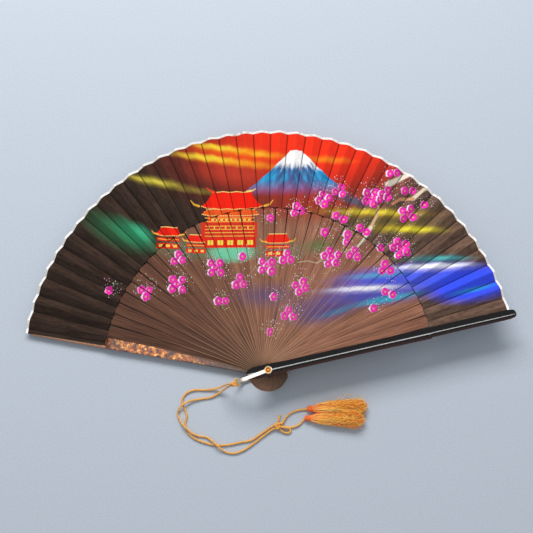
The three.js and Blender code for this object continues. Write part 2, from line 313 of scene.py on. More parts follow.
def node(kind, inputs=(), output=0, **settings):
    """One output of a new node, or all of them if output is None. The inputs are numbers, colours or
    other outputs."""
    made = Value.tree.nodes.new("ShaderNode" + kind)
    for key, value in settings.items():
        setattr(made, key, value)
    pairs = inputs.items() if isinstance(inputs, dict) else enumerate(inputs)
    for key, value in pairs:
        feed(made.inputs[key], value)
    return [Value(s) for s in made.outputs] if output is None else Value(made.outputs[output])


def maths(operation, *values, clamp=False):
    return node("Math", values, operation=operation, use_clamp=clamp)


def times_plus(value, factor, more):
    return maths("MULTIPLY_ADD", value, factor, more)


def larger(a, b):
    return maths("MAXIMUM", a, b)


def vector(operation, *values, output="Vector"):
    return node("VectorMath", values, output, operation=operation)


def between(a, b):
    return vector("SUBTRACT", b, a)


def scaled(place, factors):
    return vector("MULTIPLY", place, factors)


def resized(place, factor):
    return node("VectorMath", {0: place, "Scale": factor}, operation="SCALE")


def length(place):
    return vector("LENGTH", place, output="Value")


def axes(place):
    return node("SeparateXYZ", (place,), None)


def point(x, y, z):
    return node("CombineXYZ", (x, y, z))


def attribute(name):
    return node("Attribute", output="Vector", attribute_name=name)


def ramp(value, start, end, low_value=0, high_value=1, smooth=True):
    kind = "SMOOTHSTEP" if smooth else "LINEAR"
    return node("MapRange", (value, start, end, low_value, high_value), interpolation_type=kind)


def mix(share, a, b, blend="MIX"):
    made = Value.tree.nodes.new("ShaderNodeMix")
    made.data_type = "RGBA"
    made.blend_type = blend
    made.clamp_factor = True
    sockets = {s.identifier: s for s in (*made.inputs, *made.outputs)}
    for name, value in (("Factor_Float", share), ("A_Color", a), ("B_Color", b)):
        feed(sockets[name], value)
    return Value(sockets["Result_Color"])


def tinted(colour, tint):
    return mix(1.0, colour, tint, "MULTIPLY")


def noise_of(place, scale=1, detail=2, roughness=0.5):
    inputs = {"Vector": place, "Scale": scale, "Detail": detail, "Roughness": roughness}
    return node("TexNoise", inputs, "Fac")


def bump(height, distance, strength):
    return node("Bump", {"Height": height, "Distance": distance * MM, "Strength": strength})


def by_name(sockets):
    return {s.name: Value(s) for s in sockets}


SOCKETS = {float: "NodeSocketFloat", tuple: "NodeSocketVector", str: "NodeSocketColor"}


def group(name, inputs, outputs, build):
    """A node group. inputs maps names to defaults, and build(inputs) returns its outputs by name."""
    tree = Value.tree = bpy.data.node_groups.new(name, "ShaderNodeTree")
    for key, value in inputs.items():
        socket = tree.interface.new_socket(key, in_out="INPUT", socket_type=SOCKETS[type(value)])
        socket.default_value = linear(value) if isinstance(value, str) else value
    for key, value in outputs.items():
        tree.interface.new_socket(key, in_out="OUTPUT", socket_type=SOCKETS[type(value)])
    entry = tree.nodes.new("NodeGroupInput")
    leave = tree.nodes.new("NodeGroupOutput")
    for key, result in build(by_name(entry.outputs)).items():
        feed(leave.inputs[key], result)
    return tree


def use(shared, inputs):
    """The outputs of a node group, by name."""
    made = Value.tree.nodes.new("ShaderNodeGroup")
    made.node_tree = shared
    for key, value in inputs.items():
        feed(made.inputs[key], value)
    return by_name(made.outputs)


def material(name, build):
    """A material whose build() returns the inputs of its Principled shader."""
    made = bpy.data.materials.new(name)
    made.use_nodes = True
    Value.tree = made.node_tree
    shader = made.node_tree.nodes["Principled BSDF"]
    for key, value in build().items():
        feed(shader.inputs[key], value)
    return made


# ---------------------------------------------------------------- the painted picture
ORIGIN = (0.0, 0.0, 0.0)
BLACK = "#000000"


def local_place(entry):
    """The place relative to a feature's centre, turned into its own axes."""
    inputs = {"Vector": between(entry["Centre"], entry["Place"]), "Angle": -entry["Turn"]}
    return node("VectorRotate", inputs, rotation_type="Z_AXIS")


def painted(entry, cover, paint):
    return {"Colour": mix(cover, entry["Colour"], paint)}


def build_spray(entry):
    inside = vector("DIVIDE", local_place(entry), entry["Radii"])
    return painted(entry, ramp(length(inside), 1, entry["Edge"]) * entry["Strength"], entry["Paint"])


def build_tile(entry):
    x, y, _ = axes(local_place(entry))
    half_x, half_y, _ = axes(entry["Radii"])
    beyond = larger(abs(x) - half_x, abs(y) - half_y)
    return painted(entry, ramp(beyond, 0.12, -0.12), entry["Paint"])


def build_roof(entry):
    """Radii are half the width at the eaves, the height, and half the width at the ridge."""
    x, y, _ = axes(local_place(entry))
    half_eave, height, half_ridge = axes(entry["Radii"])
    side = abs(x)
    above = y - (side / half_eave) ** 4 * (height * 0.3)
    flare = (1 - maths("DIVIDE", y, height, clamp=True)) ** 1.7 * (half_eave - half_ridge)
    beyond = side - (half_ridge + flare)
    top = y - height
    cover = ramp(larger(larger(beyond, top), -above), 0.15, -0.15)
    shade = cover * ramp(maths("SINE", x * 5.2), 0.7, 1, 0, 0.25)
    body = mix(shade, mix(cover, entry["Colour"], entry["Paint"]), "#8c1008")
    eaves = cover * ramp(above, 0.9, 0.6) * ramp(maths("SINE", x * 4.4), -0.3, 0.3, 0.35, 1)
    crest = cover * ramp(top, -0.8, -0.5)
    return {"Colour": mix(larger(eaves, crest), body, "#f4d67c")}


def build_stroke(entry):
    """A stroke from Centre to End. Radii are half its width at the two ends and its soft edge."""
    start = between(entry["Centre"], entry["Place"])
    whole = between(entry["Centre"], entry["End"])
    dot, square = (vector("DOT_PRODUCT", v, whole, output="Value") for v in (start, whole))
    along = maths("DIVIDE", dot, square, clamp=True)
    half_start, half_end, edge = axes(entry["Radii"])
    half = ramp(along, 0, 1, half_start, half_end, smooth=False)
    beyond = length(between(resized(whole, along), start)) - half
    return painted(entry, ramp(beyond, edge, -edge) * entry["Strength"], entry["Paint"])


def build_blossom(entry):
    """A round flower. Radii.x is its radius and Radii.y the share of it that is white."""
    radius, white, _ = axes(entry["Radii"])
    place = resized(between(entry["Centre"], entry["Place"]), 1 / radius)
    x, y, _ = axes(place)
    away = length(place)
    angle = maths("ARCTAN2", y, x) + entry["Turn"]
    petals = maths("COSINE", angle * 5)
    arcs = maths("SINE", times_plus(away, 11, angle))
    body = mix(ramp(noise_of(entry["Place"], 1.6), 0.3, 0.7), "#e81ba4", "#ff3fc0")
    body = mix(ramp(arcs, 0.1, 0.9, 0, 0.55) * ramp(away, 0.2, 0.5), body, "#b3127a")
    from_light = length(between((0.62, -0.12, 0), place))
    body = mix(ramp(from_light, 1.12, 1.38) * white, body, "#fdeaf6")
    from_hub = length(between((0.08, -0.05, 0), place))
    body = mix(ramp(from_hub, 0.27, 0.15), body, "#c8b04a")
    return painted(entry, ramp(times_plus(petals, -0.07, away), 1.0, 0.88), body)


def build_mountain(entry):
    """Radii are half the width of the crest, the height, and how far the flanks run out."""
    x, y, _ = axes(local_place(entry))
    crest, height, run = axes(entry["Radii"])
    side = abs(x)
    flank = (1 - maths("DIVIDE", side - crest, run, clamp=True)) ** 1.25
    rough = noise_of(scaled(entry["Place"], (0.9, 0.25, 0)))
    beneath = times_plus(flank, height, rough * 1.4) - y
    fan_out = x / (height * 1.25 - y)
    streaks = noise_of(point(fan_out, y * 0.012, 0), 9)
    below_snow = times_plus(streaks, -17, height - y)
    blue = mix(ramp(streaks, 0.35, 0.65), "#1586bd", "#35a6d6")
    blue = mix(ramp(side, 25, 8) * ramp(streaks, 0.62, 0.4, 0.35, 0.95), blue, "#4a5a8c")
    blue = mix(ramp(y, 15, 3, 0, 0.85), blue, "#9a4a78")
    body = mix(ramp(below_snow, 7.5, 0.5), blue, "#fbfaf8")
    return painted(entry, ramp(beneath, 0, 0.8) * ramp(y, -1, 7), body)


FEATURE_INPUTS = {
    "Colour": BLACK, "Place": ORIGIN, "Centre": ORIGIN, "End": ORIGIN, "Radii": (1.0, 1.0, 1.0),
    "Turn": 0.0, "Edge": 0.0, "Paint": BLACK, "Strength": 1.0,
}
BUILDERS = {
    "spray": build_spray, "tile": build_tile, "roof": build_roof, "stroke": build_stroke,
    "blossom": build_blossom, "mountain": build_mountain,
}
BRUSHES = {
    name: group(name, FEATURE_INPUTS, {"Colour": BLACK}, build) for name, build in BUILDERS.items()
}


def feature(brush, middle, reach, turn=0, **inputs):
    """One touch of paint: its brush, its middle, how far it reaches, and the brush's inputs."""
    return {
        "brush": brush, "middle": middle, "reach": reach,
        "inputs": {"Centre": (*middle, 0), "Turn": math.radians(turn), **inputs},
    }


def spray(paint, x, y, along, across, turn, edge, strength):
    return feature(
        "spray", (x, y), max(along, across), turn, Radii=(along, across, 1), Edge=edge,
        Paint=linear(paint), Strength=strength,
    )


def tile(paint, middle, half, turn):
    return feature("tile", middle, math.hypot(*half) + 0.5, turn, Radii=(*half, 0), Paint=linear(paint))


def roof(paint, middle, half_eave, height, half_ridge, turn):
    radii = (half_eave, height, half_ridge)
    return feature("roof", middle, half_eave + 1, turn, Radii=radii, Paint=linear(paint))


def stroke(paint, route, half_start, half_end, edge, strength=1.0):
    """A stroke through several points, as one feature for each stretch."""
    touches = []
    count = len(route) - 1
    for k, (a, b) in enumerate(zip(route, route[1:])):
        halves = [lerp(half_start, half_end, n / count) for n in (k, k + 1)]
        touches.append(feature(
            "stroke", ((a[0] + b[0]) / 2, (a[1] + b[1]) / 2), math.dist(a, b) / 2 + max(halves) + edge,
            Centre=(*a, 0), End=(*b, 0), Radii=(*halves, edge), Paint=linear(paint), Strength=strength,
        ))
    return touches


def sprays(*rows):
    """Soft ovals. A row is a colour, the middle, half the length and width, the turn, how much of it
    is solid, and the strength."""
    return [spray(*row) for row in rows]


SKY = sprays(
    ("#7e2a20", 22, 176, 132, 70, -4, 0.45, 0.9),
    ("#c92d1c", 36, 188, 112, 68, -6, 0.35, 0.95),
    ("#f5351a", 42, 196, 96, 62, -8, 0.35, 1),
    ("#a83a2a", 38, 130, 66, 20, 0, 0.1, 0.75),
    ("#f4571a", -22, 171, 58, 13, -8, 0.1, 0.8),
    ("#c4402c", -22, 156, 50, 16, -9, 0, 0.85),
    ("#f6a51e", -16, 174, 52, 4.6, -9, 0, 0.9),
    ("#f6a51e", -26, 166, 58, 4.8, -9, 0, 0.9),
    ("#f4dc3c", -36, 178, 28, 3.4, -9, 0, 0.85),
    ("#f4dc3c", -46, 170, 36, 3.8, -9, 0, 0.85),
    ("#f58a1e", 52, 165, 28, 4.4, -5, 0, 0.85),
    ("#f9b52a", -2, 171, 12, 2.6, -9, 0, 0.9),
    ("#a08f34", -84, 151, 38, 5.8, -13, 0, 0.9),
    ("#e0d04c", -88, 152, 28, 3, -13, 0, 0.8),
    ("#8f7a34", -52, 143, 24, 4, -9, 0, 0.8),
)
LAND = sprays(
    ("#2f6b46", -118, 112, 40, 15, -32, 0.1, 0.75),
    ("#2f8f63", -103, 110, 30, 11, -35, 0.1, 0.85),
    ("#3fb083", -96, 111, 15, 7, -38, 0, 0.8),
    ("#5f7f5c", -60, 96, 36, 12, -6, 0.1, 0.55),
    ("#74cda4", -26, 93, 25, 10.5, 0, 0.35, 0.95),
    ("#5f7f5c", 14, 92, 32, 11, 4, 0.1, 0.5),
    ("#4a7a44", 42, 96, 15, 9, 0, 0, 0.6),
    ("#5d4a78", 0, 58, 36, 14, 0, 0, 0.7),
    ("#5a4a82", 34, 47, 38, 14, 14, 0, 0.65),
    ("#3f5a72", 70, 131, 24, 6, -22, 0, 0.8),
    ("#6d5f2e", 96, 115, 62, 12, -4, 0, 0.75),
    ("#b08c2c", 86, 121, 66, 6, -3, 0, 0.9),
    ("#e8d444", 88, 121, 44, 3.6, -3, 0, 0.85),
    ("#a8902c", 108, 107, 50, 6.4, -3, 0, 0.9),
    ("#f0e23a", 117, 106.5, 30, 3.6, -3, 0, 0.9),
    ("#3c8f93", 134, 82.5, 38, 5, 0, 0, 0.85),
    ("#59b8b8", 142, 83, 22, 2.2, 0, 0, 0.8),
)
WATER = sprays(
    ("#4a5ce0", 118, 68, 82, 15, 2, 0.35, 0.95),
    ("#3650f0", 160, 62, 46, 17, 8, 0.45, 0.95),
    ("#5ea2cf", 86, 71, 34, 3.6, 3, 0.1, 0.85),
    ("#4450b8", 84, 56, 58, 12, 4, 0.2, 0.85),
    ("#36a9c4", 92, 52, 40, 4.2, 9, 0.1, 0.9),
    ("#2aa3c8", 160, 58, 28, 3.2, 12, 0, 0.7),
    ("#4a4488", 50, 44, 38, 11, 18, 0, 0.8),
    ("#3f86a8", 56, 44, 26, 3.6, 16, 0, 0.65),
    ("#b9b4e8", 128, 76, 50, 5.2, 1, 0, 0.9),
    ("#ffffff", 130, 77, 42, 3, 1, 0.1, 1),
    ("#b3aee0", 76, 60.5, 50, 5, 1.5, 0, 0.9),
    ("#f6f3fa", 76, 61, 36, 2.7, 1.5, 0.1, 1),
)
MOUNTAIN = [feature("mountain", (25.5, 136), 52, -2, Radii=(4.6, 37, 42))]


def placing(x, y, tilt, size=1):
    """A function that gives the picture's place of a point in a building's own axes."""
    c, s = math.cos(math.radians(tilt)), math.sin(math.radians(tilt))
    return lambda u, v: (x + size * (u * c - v * s), y + size * (u * s + v * c))


def pavilion(x, y, size, tilt):
    """A small open hall: a roof with turned-up eaves over two bands and a row of windows."""
    at = placing(x, y, tilt, size)
    touches = [
        tile("#e22510", at(0, 1.6), (9.5 * size, 2.2 * size), tilt),
        tile("#e22510", at(0, 7), (9.5 * size, 1.5 * size), tilt),
        tile("#e8b84a", at(0, 7), (8.6 * size, 0.3), tilt),
        roof("#f4230f", at(0, 9.6), 12.5 * size, 8 * size, 7 * size, tilt),
    ]
    touches += [tile("#f3cf55", at(6 * k, 1.7), (1.6 * size, 1.1 * size), tilt) for k in (-1, 0, 1)]
    for side in (-1, 1):
        horn = [at(9 * side, 11), at(12.4 * side, 11.6), at(14 * side, 13.6)]
        touches += stroke("#f0b040", horn, 0.7, 0.3, 0.25)
    return touches


def great_hall(x, y, tilt):
    """The main building: a high roof, three storeys of railings, and a row of windows."""
    at = placing(x, y, tilt)

    def tiles(paint, half, *spots):
        return [tile(paint, at(*spot), half, tilt) for spot in spots]

    touches = [
        *tiles("#e5240f", (20, 4), (0, 3.5)),
        *tiles("#d9301a", (22, 6.4), (-1, 13.5)),
        *tiles("#e8401f", (18, 2.6), (0, 22)),
        *tiles("#d6932e", (21, 1.7), (0, 27)),
        roof("#ee5a20", at(0, 24.6), 25, 6, 19, tilt),
    ]
    for k in range(5):
        touches += tiles("#f7d84e", (2.2, 1.9), (-15.6 + 7.8 * k, 3.6))
        touches += tiles("#b5842c", (0.25, 1.9), (-15.6 + 7.8 * k, 3.6))
    for height in (8.8, 11.6, 14.2, 16.8, 20.4, 23.2):
        touches += tiles("#f0b848", (19.5, 0.32), (-0.5, height))
    for k in range(9):
        touches += tiles("#f3c455", (0.5, 1.2), (-17 + 4.4 * k, 15.5))
        touches += tiles("#f7d668", (1.0, 0.7), (-14 + 3.6 * k, 21.8))
    touches.append(roof("#f6230e", at(1, 30), 28, 14.5, 15.5, tilt))
    for paint, half_start, half_end, edge, *horn in (
        ("#f2b23e", 0.9, 0.35, 0.3, (-25, 32.6), (-29, 34.4), (-31.5, 37.6)),
        ("#f2b23e", 0.9, 0.35, 0.3, (27, 32.6), (31, 34.4), (33.5, 37.4)),
        ("#f5dc7a", 0.8, 0.3, 0.25, (13, 44.4), (17, 45), (20, 47)),
        ("#f0401c", 0.8, 0.3, 0.25, (-12, 44.2), (-16, 45), (-19, 47.2)),
    ):
        touches += stroke(paint, [at(*spot) for spot in horn], half_start, half_end, edge)
    return touches


BUILDINGS = [
    *pavilion(-76, 98, 0.95, -4), *pavilion(-54, 93.5, 0.82, -4), *pavilion(10, 89, 1.0, -1),
    *great_hall(-27, 97, -1.5),
]
BRANCHES = [
    *stroke("#e6dcc8", [(119, 152), (110, 149), (98, 143)], 1.8, 2.2, 0.9),
    *stroke("#dccbb0", [(134, 139), (126, 138), (117, 131)], 0.9, 1.6, 0.7),
    *stroke("#c98f68", [(117, 131), (107, 131), (101, 127)], 1.3, 0.9, 0.6),
    *stroke("#c9a57e", [(90, 126), (88, 118), (83, 109)], 0.9, 1.1, 0.6),
    *stroke("#d9cbb4", [(83, 109), (77, 99), (72, 94)], 1.5, 0.8, 0.6),
    *stroke(
        "#c3a98c", [(72, 94), (64, 91), (55, 88), (47, 86), (40, 82), (33, 84), (25, 83)], 0.6, 0.3, 0.3,
    ),
    *stroke("#a89a82", [(-2, 77), (-8, 80), (-14, 73)], 0.35, 0.25, 0.3, 0.7),
]
# The place, the number of flowers and the turn of each bunch.
BUNCHES = [
    (-122, 66, 1, 0), (-94, 64, 3, 25), (-68, 89, 3, 95), (-69, 69, 5, 40), (-39, 81, 5, 45),
    (-18, 89, 1, 0), (-20, 69, 3, 85), (-35, 55, 2, 5), (1, 81, 5, 40), (5, 119, 1, 0),
    (26, 125, 3, 100), (47, 133, 4, 10), (60, 139, 3, 70), (59, 118, 2, -35), (47, 106, 1, 0),
    (77, 107, 2, -30), (64, 101, 2, 75), (69, 88, 3, 80), (51, 86, 6, 20), (85, 133, 6, 60),
    (96, 136, 3, 60), (103, 152, 2, 0), (114, 138, 2, 5), (126, 126, 1, 0), (112, 119, 5, 55),
    (90, 93, 1, 0), (105, 92, 6, 35), (93, 76, 3, 100), (94, 57, 2, -20), (82, 45, 1, 0),
    (17, 87, 3, 90), (27, 64, 4, 70), (6, 57, 1, 0), (17, 43, 3, 85), (2, 30, 1, 0),
]
FLOWER_R = 3.45
FULL_BUNCH = 5  # flowers from which a bunch has one in its middle too
WHITE_FLOWERS = 0.45
WHITE_SHARE = (0.35, 1.0)


def bunch(x, y, count, turn):
    draw = random.Random(x * 7 + y)
    full = count >= FULL_BUNCH
    ring = count - 1 if full else count
    reach = 0 if ring == 1 else (2.6 + 0.62 * ring if full else 1.9 + 0.5 * ring)
    spots = [(0, 0)] if full else []
    spots += [polar(reach, turn + 360 * k / ring, 0)[:2] for k in range(ring)]
    touches = []
    for u, v in spots:
        radius = FLOWER_R * draw.uniform(0.88, 1.08)
        white = WHITE_SHARE[draw.random() < WHITE_FLOWERS]
        spot = (x + u + draw.uniform(-0.5, 0.5), y + v + draw.uniform(-0.5, 0.5))
        turned_by = math.degrees(draw.uniform(0, 6))
        touches.append(feature("blossom", spot, radius * 1.15, turned_by, Radii=(radius, white, 0)))
    return touches


BLOSSOMS = [touch for spec in BUNCHES for touch in bunch(*spec)]
SOFT_TOUCHES = SKY + MOUNTAIN + LAND + WATER
CRISP_TOUCHES = BUILDINGS + BRANCHES


def build_specks(entry):
    """Fine spatter: one dot in some cells of a loose grid, where Amount says."""
    away, code = node(
        "TexVoronoi", {"Vector": entry["Place"], "Scale": 0.62, "Randomness": 1.0}, None,
        voronoi_dimensions="2D", feature="F1",
    )[:2]
    chance, kind, size = node("SeparateColor", (code,), None)
    dot = ramp(away, ramp(size, 0, 1, 0.2, 0.34), 0.1)
    paint = mix(maths("GREATER_THAN", kind, 0.38), "#f3ece2", "#f29ad0")
    paint = mix(maths("GREATER_THAN", kind, 0.72), paint, "#8fd0a8")
    return painted(entry, maths("LESS_THAN", chance, entry["Amount"] * 0.75) * dot, paint)


def build_halo(entry):
    away = vector("DISTANCE", entry["Place"], entry["Centre"], output="Value")
    return {"Amount": larger(entry["Amount"], ramp(away, entry["Reach"], 2, smooth=False))}


SPECKS = group("specks", {"Colour": BLACK, "Place": ORIGIN, "Amount": 0.0}, {"Colour": BLACK}, build_specks)
HALO_INPUTS = {"Amount": 0.0, "Place": ORIGIN, "Centre": ORIGIN, "Reach": 10.0}
HALO = group("halo", HALO_INPUTS, {"Amount": 0.0}, build_halo)
HALO_REACH = 11


def meets(spot, reach, azimuth, half_angle, radii):
    """Whether a circle meets the sector round an azimuth between two radii."""
    r = math.hypot(*spot)
    if r + reach < radii[0] or r - reach > radii[1]:
        return False
    spread = math.degrees(math.asin(min(1, reach / max(r, 1))))
    return abs(math.degrees(math.atan2(spot[1], spot[0])) - azimuth) < half_angle + spread


def paint_over(colour, *sector):
    """Adds to a base colour all the paint that meets one stick's sector."""
    rest = scaled(attribute("rest"), (1, 1, 0))
    wobble = noise_of(scaled(rest, (0.16, 0.5, 0)), detail=3)
    soft = vector("ADD", rest, point(0, times_plus(wobble, 2, -1), 0))

    def layer(colour, touches, place):
        for touch in touches:
            if meets(touch["middle"], touch["reach"], *sector):
                here = rest if touch["brush"] == "mountain" else place
                inputs = {"Colour": colour, "Place": here, **touch["inputs"]}
                colour = use(BRUSHES[touch["brush"]], inputs)["Colour"]
        return colour

    colour = layer(layer(colour, SOFT_TOUCHES, soft), CRISP_TOUCHES, rest)
    amount = None
    for x, y, count, _ in BUNCHES:
        reach = HALO_REACH * (0.75 + 0.12 * count)
        if meets((x, y), reach, *sector):
            inputs = {"Amount": amount or 0.0, "Place": rest, "Centre": (x + 1, y + 2, 0), "Reach": reach}
            amount = use(HALO, inputs)["Amount"]
    if amount:
        colour = use(SPECKS, {"Colour": colour, "Place": rest, "Amount": amount})["Colour"]
    return layer(colour, BLOSSOMS, rest)


# ---------------------------------------------------------------- materials
def build_wood(entry):
    """Stained wood along a stick's own axes: Strip.x runs along it, Strip.y across it from -1 to 1."""
    along, across, _ = axes(entry["Strip"])
    place = point(along, across * 4, entry["Seed"])
    fibres = noise_of(scaled(place, (0.05, 3.2, 1)), detail=4, roughness=0.65)
    pores = noise_of(scaled(place, (0.35, 9, 1)), roughness=0.6)
    cloud = noise_of(scaled(place, (0.02, 0.2, 1)))
    colour = mix(ramp(fibres, 0.3, 0.72), "#4f2f23", "#80523f")
    colour = mix(ramp(cloud, 0.35, 0.75, 0, 0.5), colour, "#8d5f48")
    colour = mix(ramp(pores, 0.58, 0.75, 0, 0.6), colour, "#3a261e")
    return {"Colour": colour, "Fibres": fibres, "Pores": pores}


def build_cloth(entry):
    """Dark cloth with a plain weave: Strip.x runs along the fold, Strip.y is 0 on a ridge and 1 in
    a valley."""
    along, across, _ = axes(entry["Strip"])
    spread = across * (along * 0.037)
    weave = larger(maths("SINE", along * 13), maths("SINE", spread * 13))
    place = point(along, spread, entry["Seed"])
    cloud = noise_of(scaled(place, (0.05, 0.35, 1)), detail=3)
    slubs = noise_of(scaled(place, (0.25, 2.4, 1)), detail=3)
    colour = mix(ramp(cloud, 0.3, 0.7), "#271b16", "#3e2f27")
    colour = mix(ramp(slubs, 0.35, 0.7, 0, 0.3), colour, "#574336")
    return {"Colour": colour, "Weave": weave, "Slubs": slubs}


STRIP_INPUTS = {"Strip": ORIGIN, "Seed": 0.0}
WOOD = group("stained_wood", STRIP_INPUTS, {"Colour": BLACK, "Fibres": 0.0, "Pores": 0.0}, build_wood)
CLOTH = group("leaf_weave", STRIP_INPUTS, {"Colour": BLACK, "Weave": 0.0, "Slubs": 0.0}, build_cloth)


def rib_material(i):
    """Wood that is darker and redder at the rear guard's side of the fan, with a painted highlight near its
    edges towards the pivot and a painted shadow line along each edge.
    """
    def build():
        strip = attribute("strip")
        along, across, _ = axes(strip)
        wood = use(WOOD, {"Strip": strip, "Seed": i * 3.7})
        tone = random.Random(i).uniform(0.92, 1.1) * lerp(0.66, 1.85, smoothstep(0, 24, i))
        colour = tinted(wood["Colour"], (tone, 1.08 * tone, 1.1 * tone, 1))
        colour = paint_over(colour, stick_azimuth(i), HALF_PITCH + 0.5, (0, SHOULDER_R + 1))
        colour = tinted(colour, ramp(wood["Fibres"], 0.35, 0.7, 0.78, 1.08))
        off_middle = abs(across)
        # Painted highlight: a pale tan band near both long edges, strongest by the pivot and gone by 100 mm
        # out.
        painted_edge_highlight = ramp(off_middle, 0.7, 0.86) * ramp(along, 100, 45, 0, 0.5)
        colour = mix(painted_edge_highlight, colour, "#b08a6c")
        # Painted shadow: a near-black band along both long edges, widening towards the shoulder, stands in
        # for the shade in the gaps between neighbouring ribs.
        edge_shadow_reach = off_middle + ramp(along, 80, SHOULDER_R, 0, 0.05)
        colour = mix(ramp(edge_shadow_reach, 0.94, 0.985, 0, 0.9), colour, "#0d0705")
        return {
            "Base Color": colour, "Roughness": ramp(wood["Fibres"], 0.3, 0.7, 0.5, 0.66),
            "Normal": bump(times_plus(wood["Pores"], 0.5, wood["Fibres"]), 0.06, 0.7),
            "Specular IOR Level": 0.1,
        }

    return material(f"rib_wood_{i:02d}", build)


def leaf_material(i):
    """Painted cloth that is paler at the front guard's side, with painted shade: a dark line along the valley
    fold.
    """
    def build():
        strip = attribute("strip")
        cloth = use(CLOTH, {"Strip": strip, "Seed": i * 2.3})
        tone = lerp(0.95, 3.3, smoothstep(14, 28, i))
        colour = tinted(cloth["Colour"], (tone, tone, tone, 1))
        colour = paint_over(colour, stick_azimuth(i), HALF_PITCH + 1, (LEAF_R[0] - 1, 195))
        colour = tinted(colour, ramp(cloth["Slubs"], 0.3, 0.7, 0.9, 1.05))
        # Painted shade: a near-black line down the middle of the valley fold, where the crease lies in shade.
        from_valley = abs(axes(strip)[1] - 1)
        return {
            "Base Color": mix(ramp(from_valley, 0.14, 0.02, 0, 0.7), colour, "#120c0a"),
            "Roughness": 0.78, "Specular IOR Level": 0.08, "Sheen Weight": 0.08, "Sheen Roughness": 0.5,
            "Normal": bump(times_plus(cloth["Weave"], 0.3, cloth["Slubs"]), 0.09, 0.8),
        }

    return material(f"leaf_cloth_{i:02d}", build)


def build_binding():
    rest = attribute("rest")
    flecks = noise_of(rest, 0.9, 3, 0.7)
    long_flecks = noise_of(scaled(rest, (0.14, 0.14, 0.4)))
    colour = mix(ramp(flecks, 0.5, 0.75, 0, 0.6), "#fbf8f4", "#c4ae94")
    return {
        "Base Color": mix(ramp(long_flecks, 0.55, 0.75, 0, 0.6), colour, "#a5805f"),
        "Roughness": ramp(flecks, 0.3, 0.7, 0.28, 0.55), "Metallic": 0.25,
        "Normal": bump(flecks, 0.05, 0.5),
    }


def orange_peel(rest):
    return bump(noise_of(rest, 0.22), 0.12, 0.3)


def build_front_lacquer():
    """Gloss black with dulled spots, rubbed to red-brown along one side."""
    rest = attribute("rest")
    rub = noise_of(rest, 0.35, 4, 0.7)
    outward = times_plus(rub, -0.4, -axes(attribute("strip"))[1])
    spots = noise_of(rest, 0.9, 4, 0.7)
    return {
        "Base Color": mix(ramp(outward, 0.25, 0.6), "#060404", "#3f1d14"),
        "Roughness": ramp(spots, 0.45, 0.8, 0.09, 0.24), "Normal": orange_peel(rest),
    }


def build_rear_lacquer():
    """Red-brown lacquer with mottled copper on its middle and a worn edge under the leaf."""
    rest = attribute("rest")
    along, across, depth = axes(attribute("strip"))
    clouds = noise_of(rest, 0.32, 4, 0.65)
    fine = noise_of(rest, 1.3, 4, 0.75)
    copper = mix(ramp(fine, 0.4, 0.62), "#6a220d", "#dc8238")
    copper = mix(ramp(clouds, 0.55, 0.7), copper, "#f6c873")
    here = ramp(along, 25, 85, 0.1, 1) * ramp(along, 165, 95) * ramp(clouds, 0.39, 0.55)
    here = here * ramp(depth, 0.75, 0.5)
    worn = ramp(abs(across), 0.84, 0.95) * ramp(along, 122, 134)
    return {
        "Base Color": mix(worn, mix(here, "#3a1a10", copper), "#9c5f30"), "Metallic": here * 0.3,
        "Roughness": ramp(fine, 0.3, 0.7, 0.34, 0.5), "Normal": orange_peel(rest),
    }


def metal(name, colour, dark, roughness):
    """Stained metal with fine scratches."""
    def build():
        rest = attribute("rest")
        scratches = noise_of(scaled(rest, (0.6, 5, 2)), detail=4, roughness=0.7)
        stains = noise_of(rest, 0.7, 3, 0.6)
        return {
            "Base Color": mix(ramp(stains, 0.45, 0.75, 0, 0.7), colour, dark), "Metallic": 1.0,
            "Roughness": ramp(scratches, 0.3, 0.7, roughness, roughness + 0.16),
            "Normal": bump(scratches, 0.02, 0.3),
        }

    return material(name, build)


def build_cord():
    rest = attribute("rest")
    fibres = noise_of(scaled(rest, (3, 3, 3)), 1, 3, 0.7)
    colour = mix(ramp(fibres, 0.3, 0.7), "#d98a2a", "#ffc766")
    return {
        "Base Color": mix(ramp(noise_of(rest, 0.12), 0.4, 0.7, 0, 0.4), colour, "#f7b84e"),
        "Roughness": 0.62, "Sheen Weight": 0.35, "Sheen Roughness": 0.4, "Normal": bump(fibres, 0.12, 0.8),
    }


def build_thread():
    """Strip.x is the share along the thread, Strip.y the thread's own tint between orange and gold, Strip.z
    its share of painted light: a painted highlight where it is high and painted shade where it is low.
    """
    along, shade, painted_light_share = axes(attribute("strip"))
    fibres = noise_of(scaled(attribute("rest"), (1, 2, 2)), detail=3)
    colour = mix(shade, "#ff8a18", "#ffda4c")
    # The last two mixes are painted light: pale yellow as a painted highlight on threads with a high share,
    # deep orange as painted shade on those with a low share.
    for share, paint in (
        (ramp(along, 0.28, 0.02, 0, 0.7), "#f04e10"), (ramp(fibres, 0.5, 0.75, 0, 0.5), "#ffd070"),
        (ramp(painted_light_share, 0.7, 1, 0, 0.6), "#ffe890"), (ramp(painted_light_share, 0.3, 0, 0, 0.7), "#ff5a0c"),
    ):
        colour = mix(share, colour, paint)
    return {
        "Base Color": colour, "Roughness": 0.5, "Sheen Weight": 0.1, "Sheen Roughness": 0.35,
        "Normal": bump(fibres, 0.1, 0.5),
    }


def build_floor():
    grain = noise_of(node("TexCoord", output="Object"), 900)
    colour = mix(ramp(grain, 0.3, 0.7), "#bac3ce", "#c4ccd6")
    return {"Base Color": colour, "Roughness": 0.9, "Specular IOR Level": 0.1}


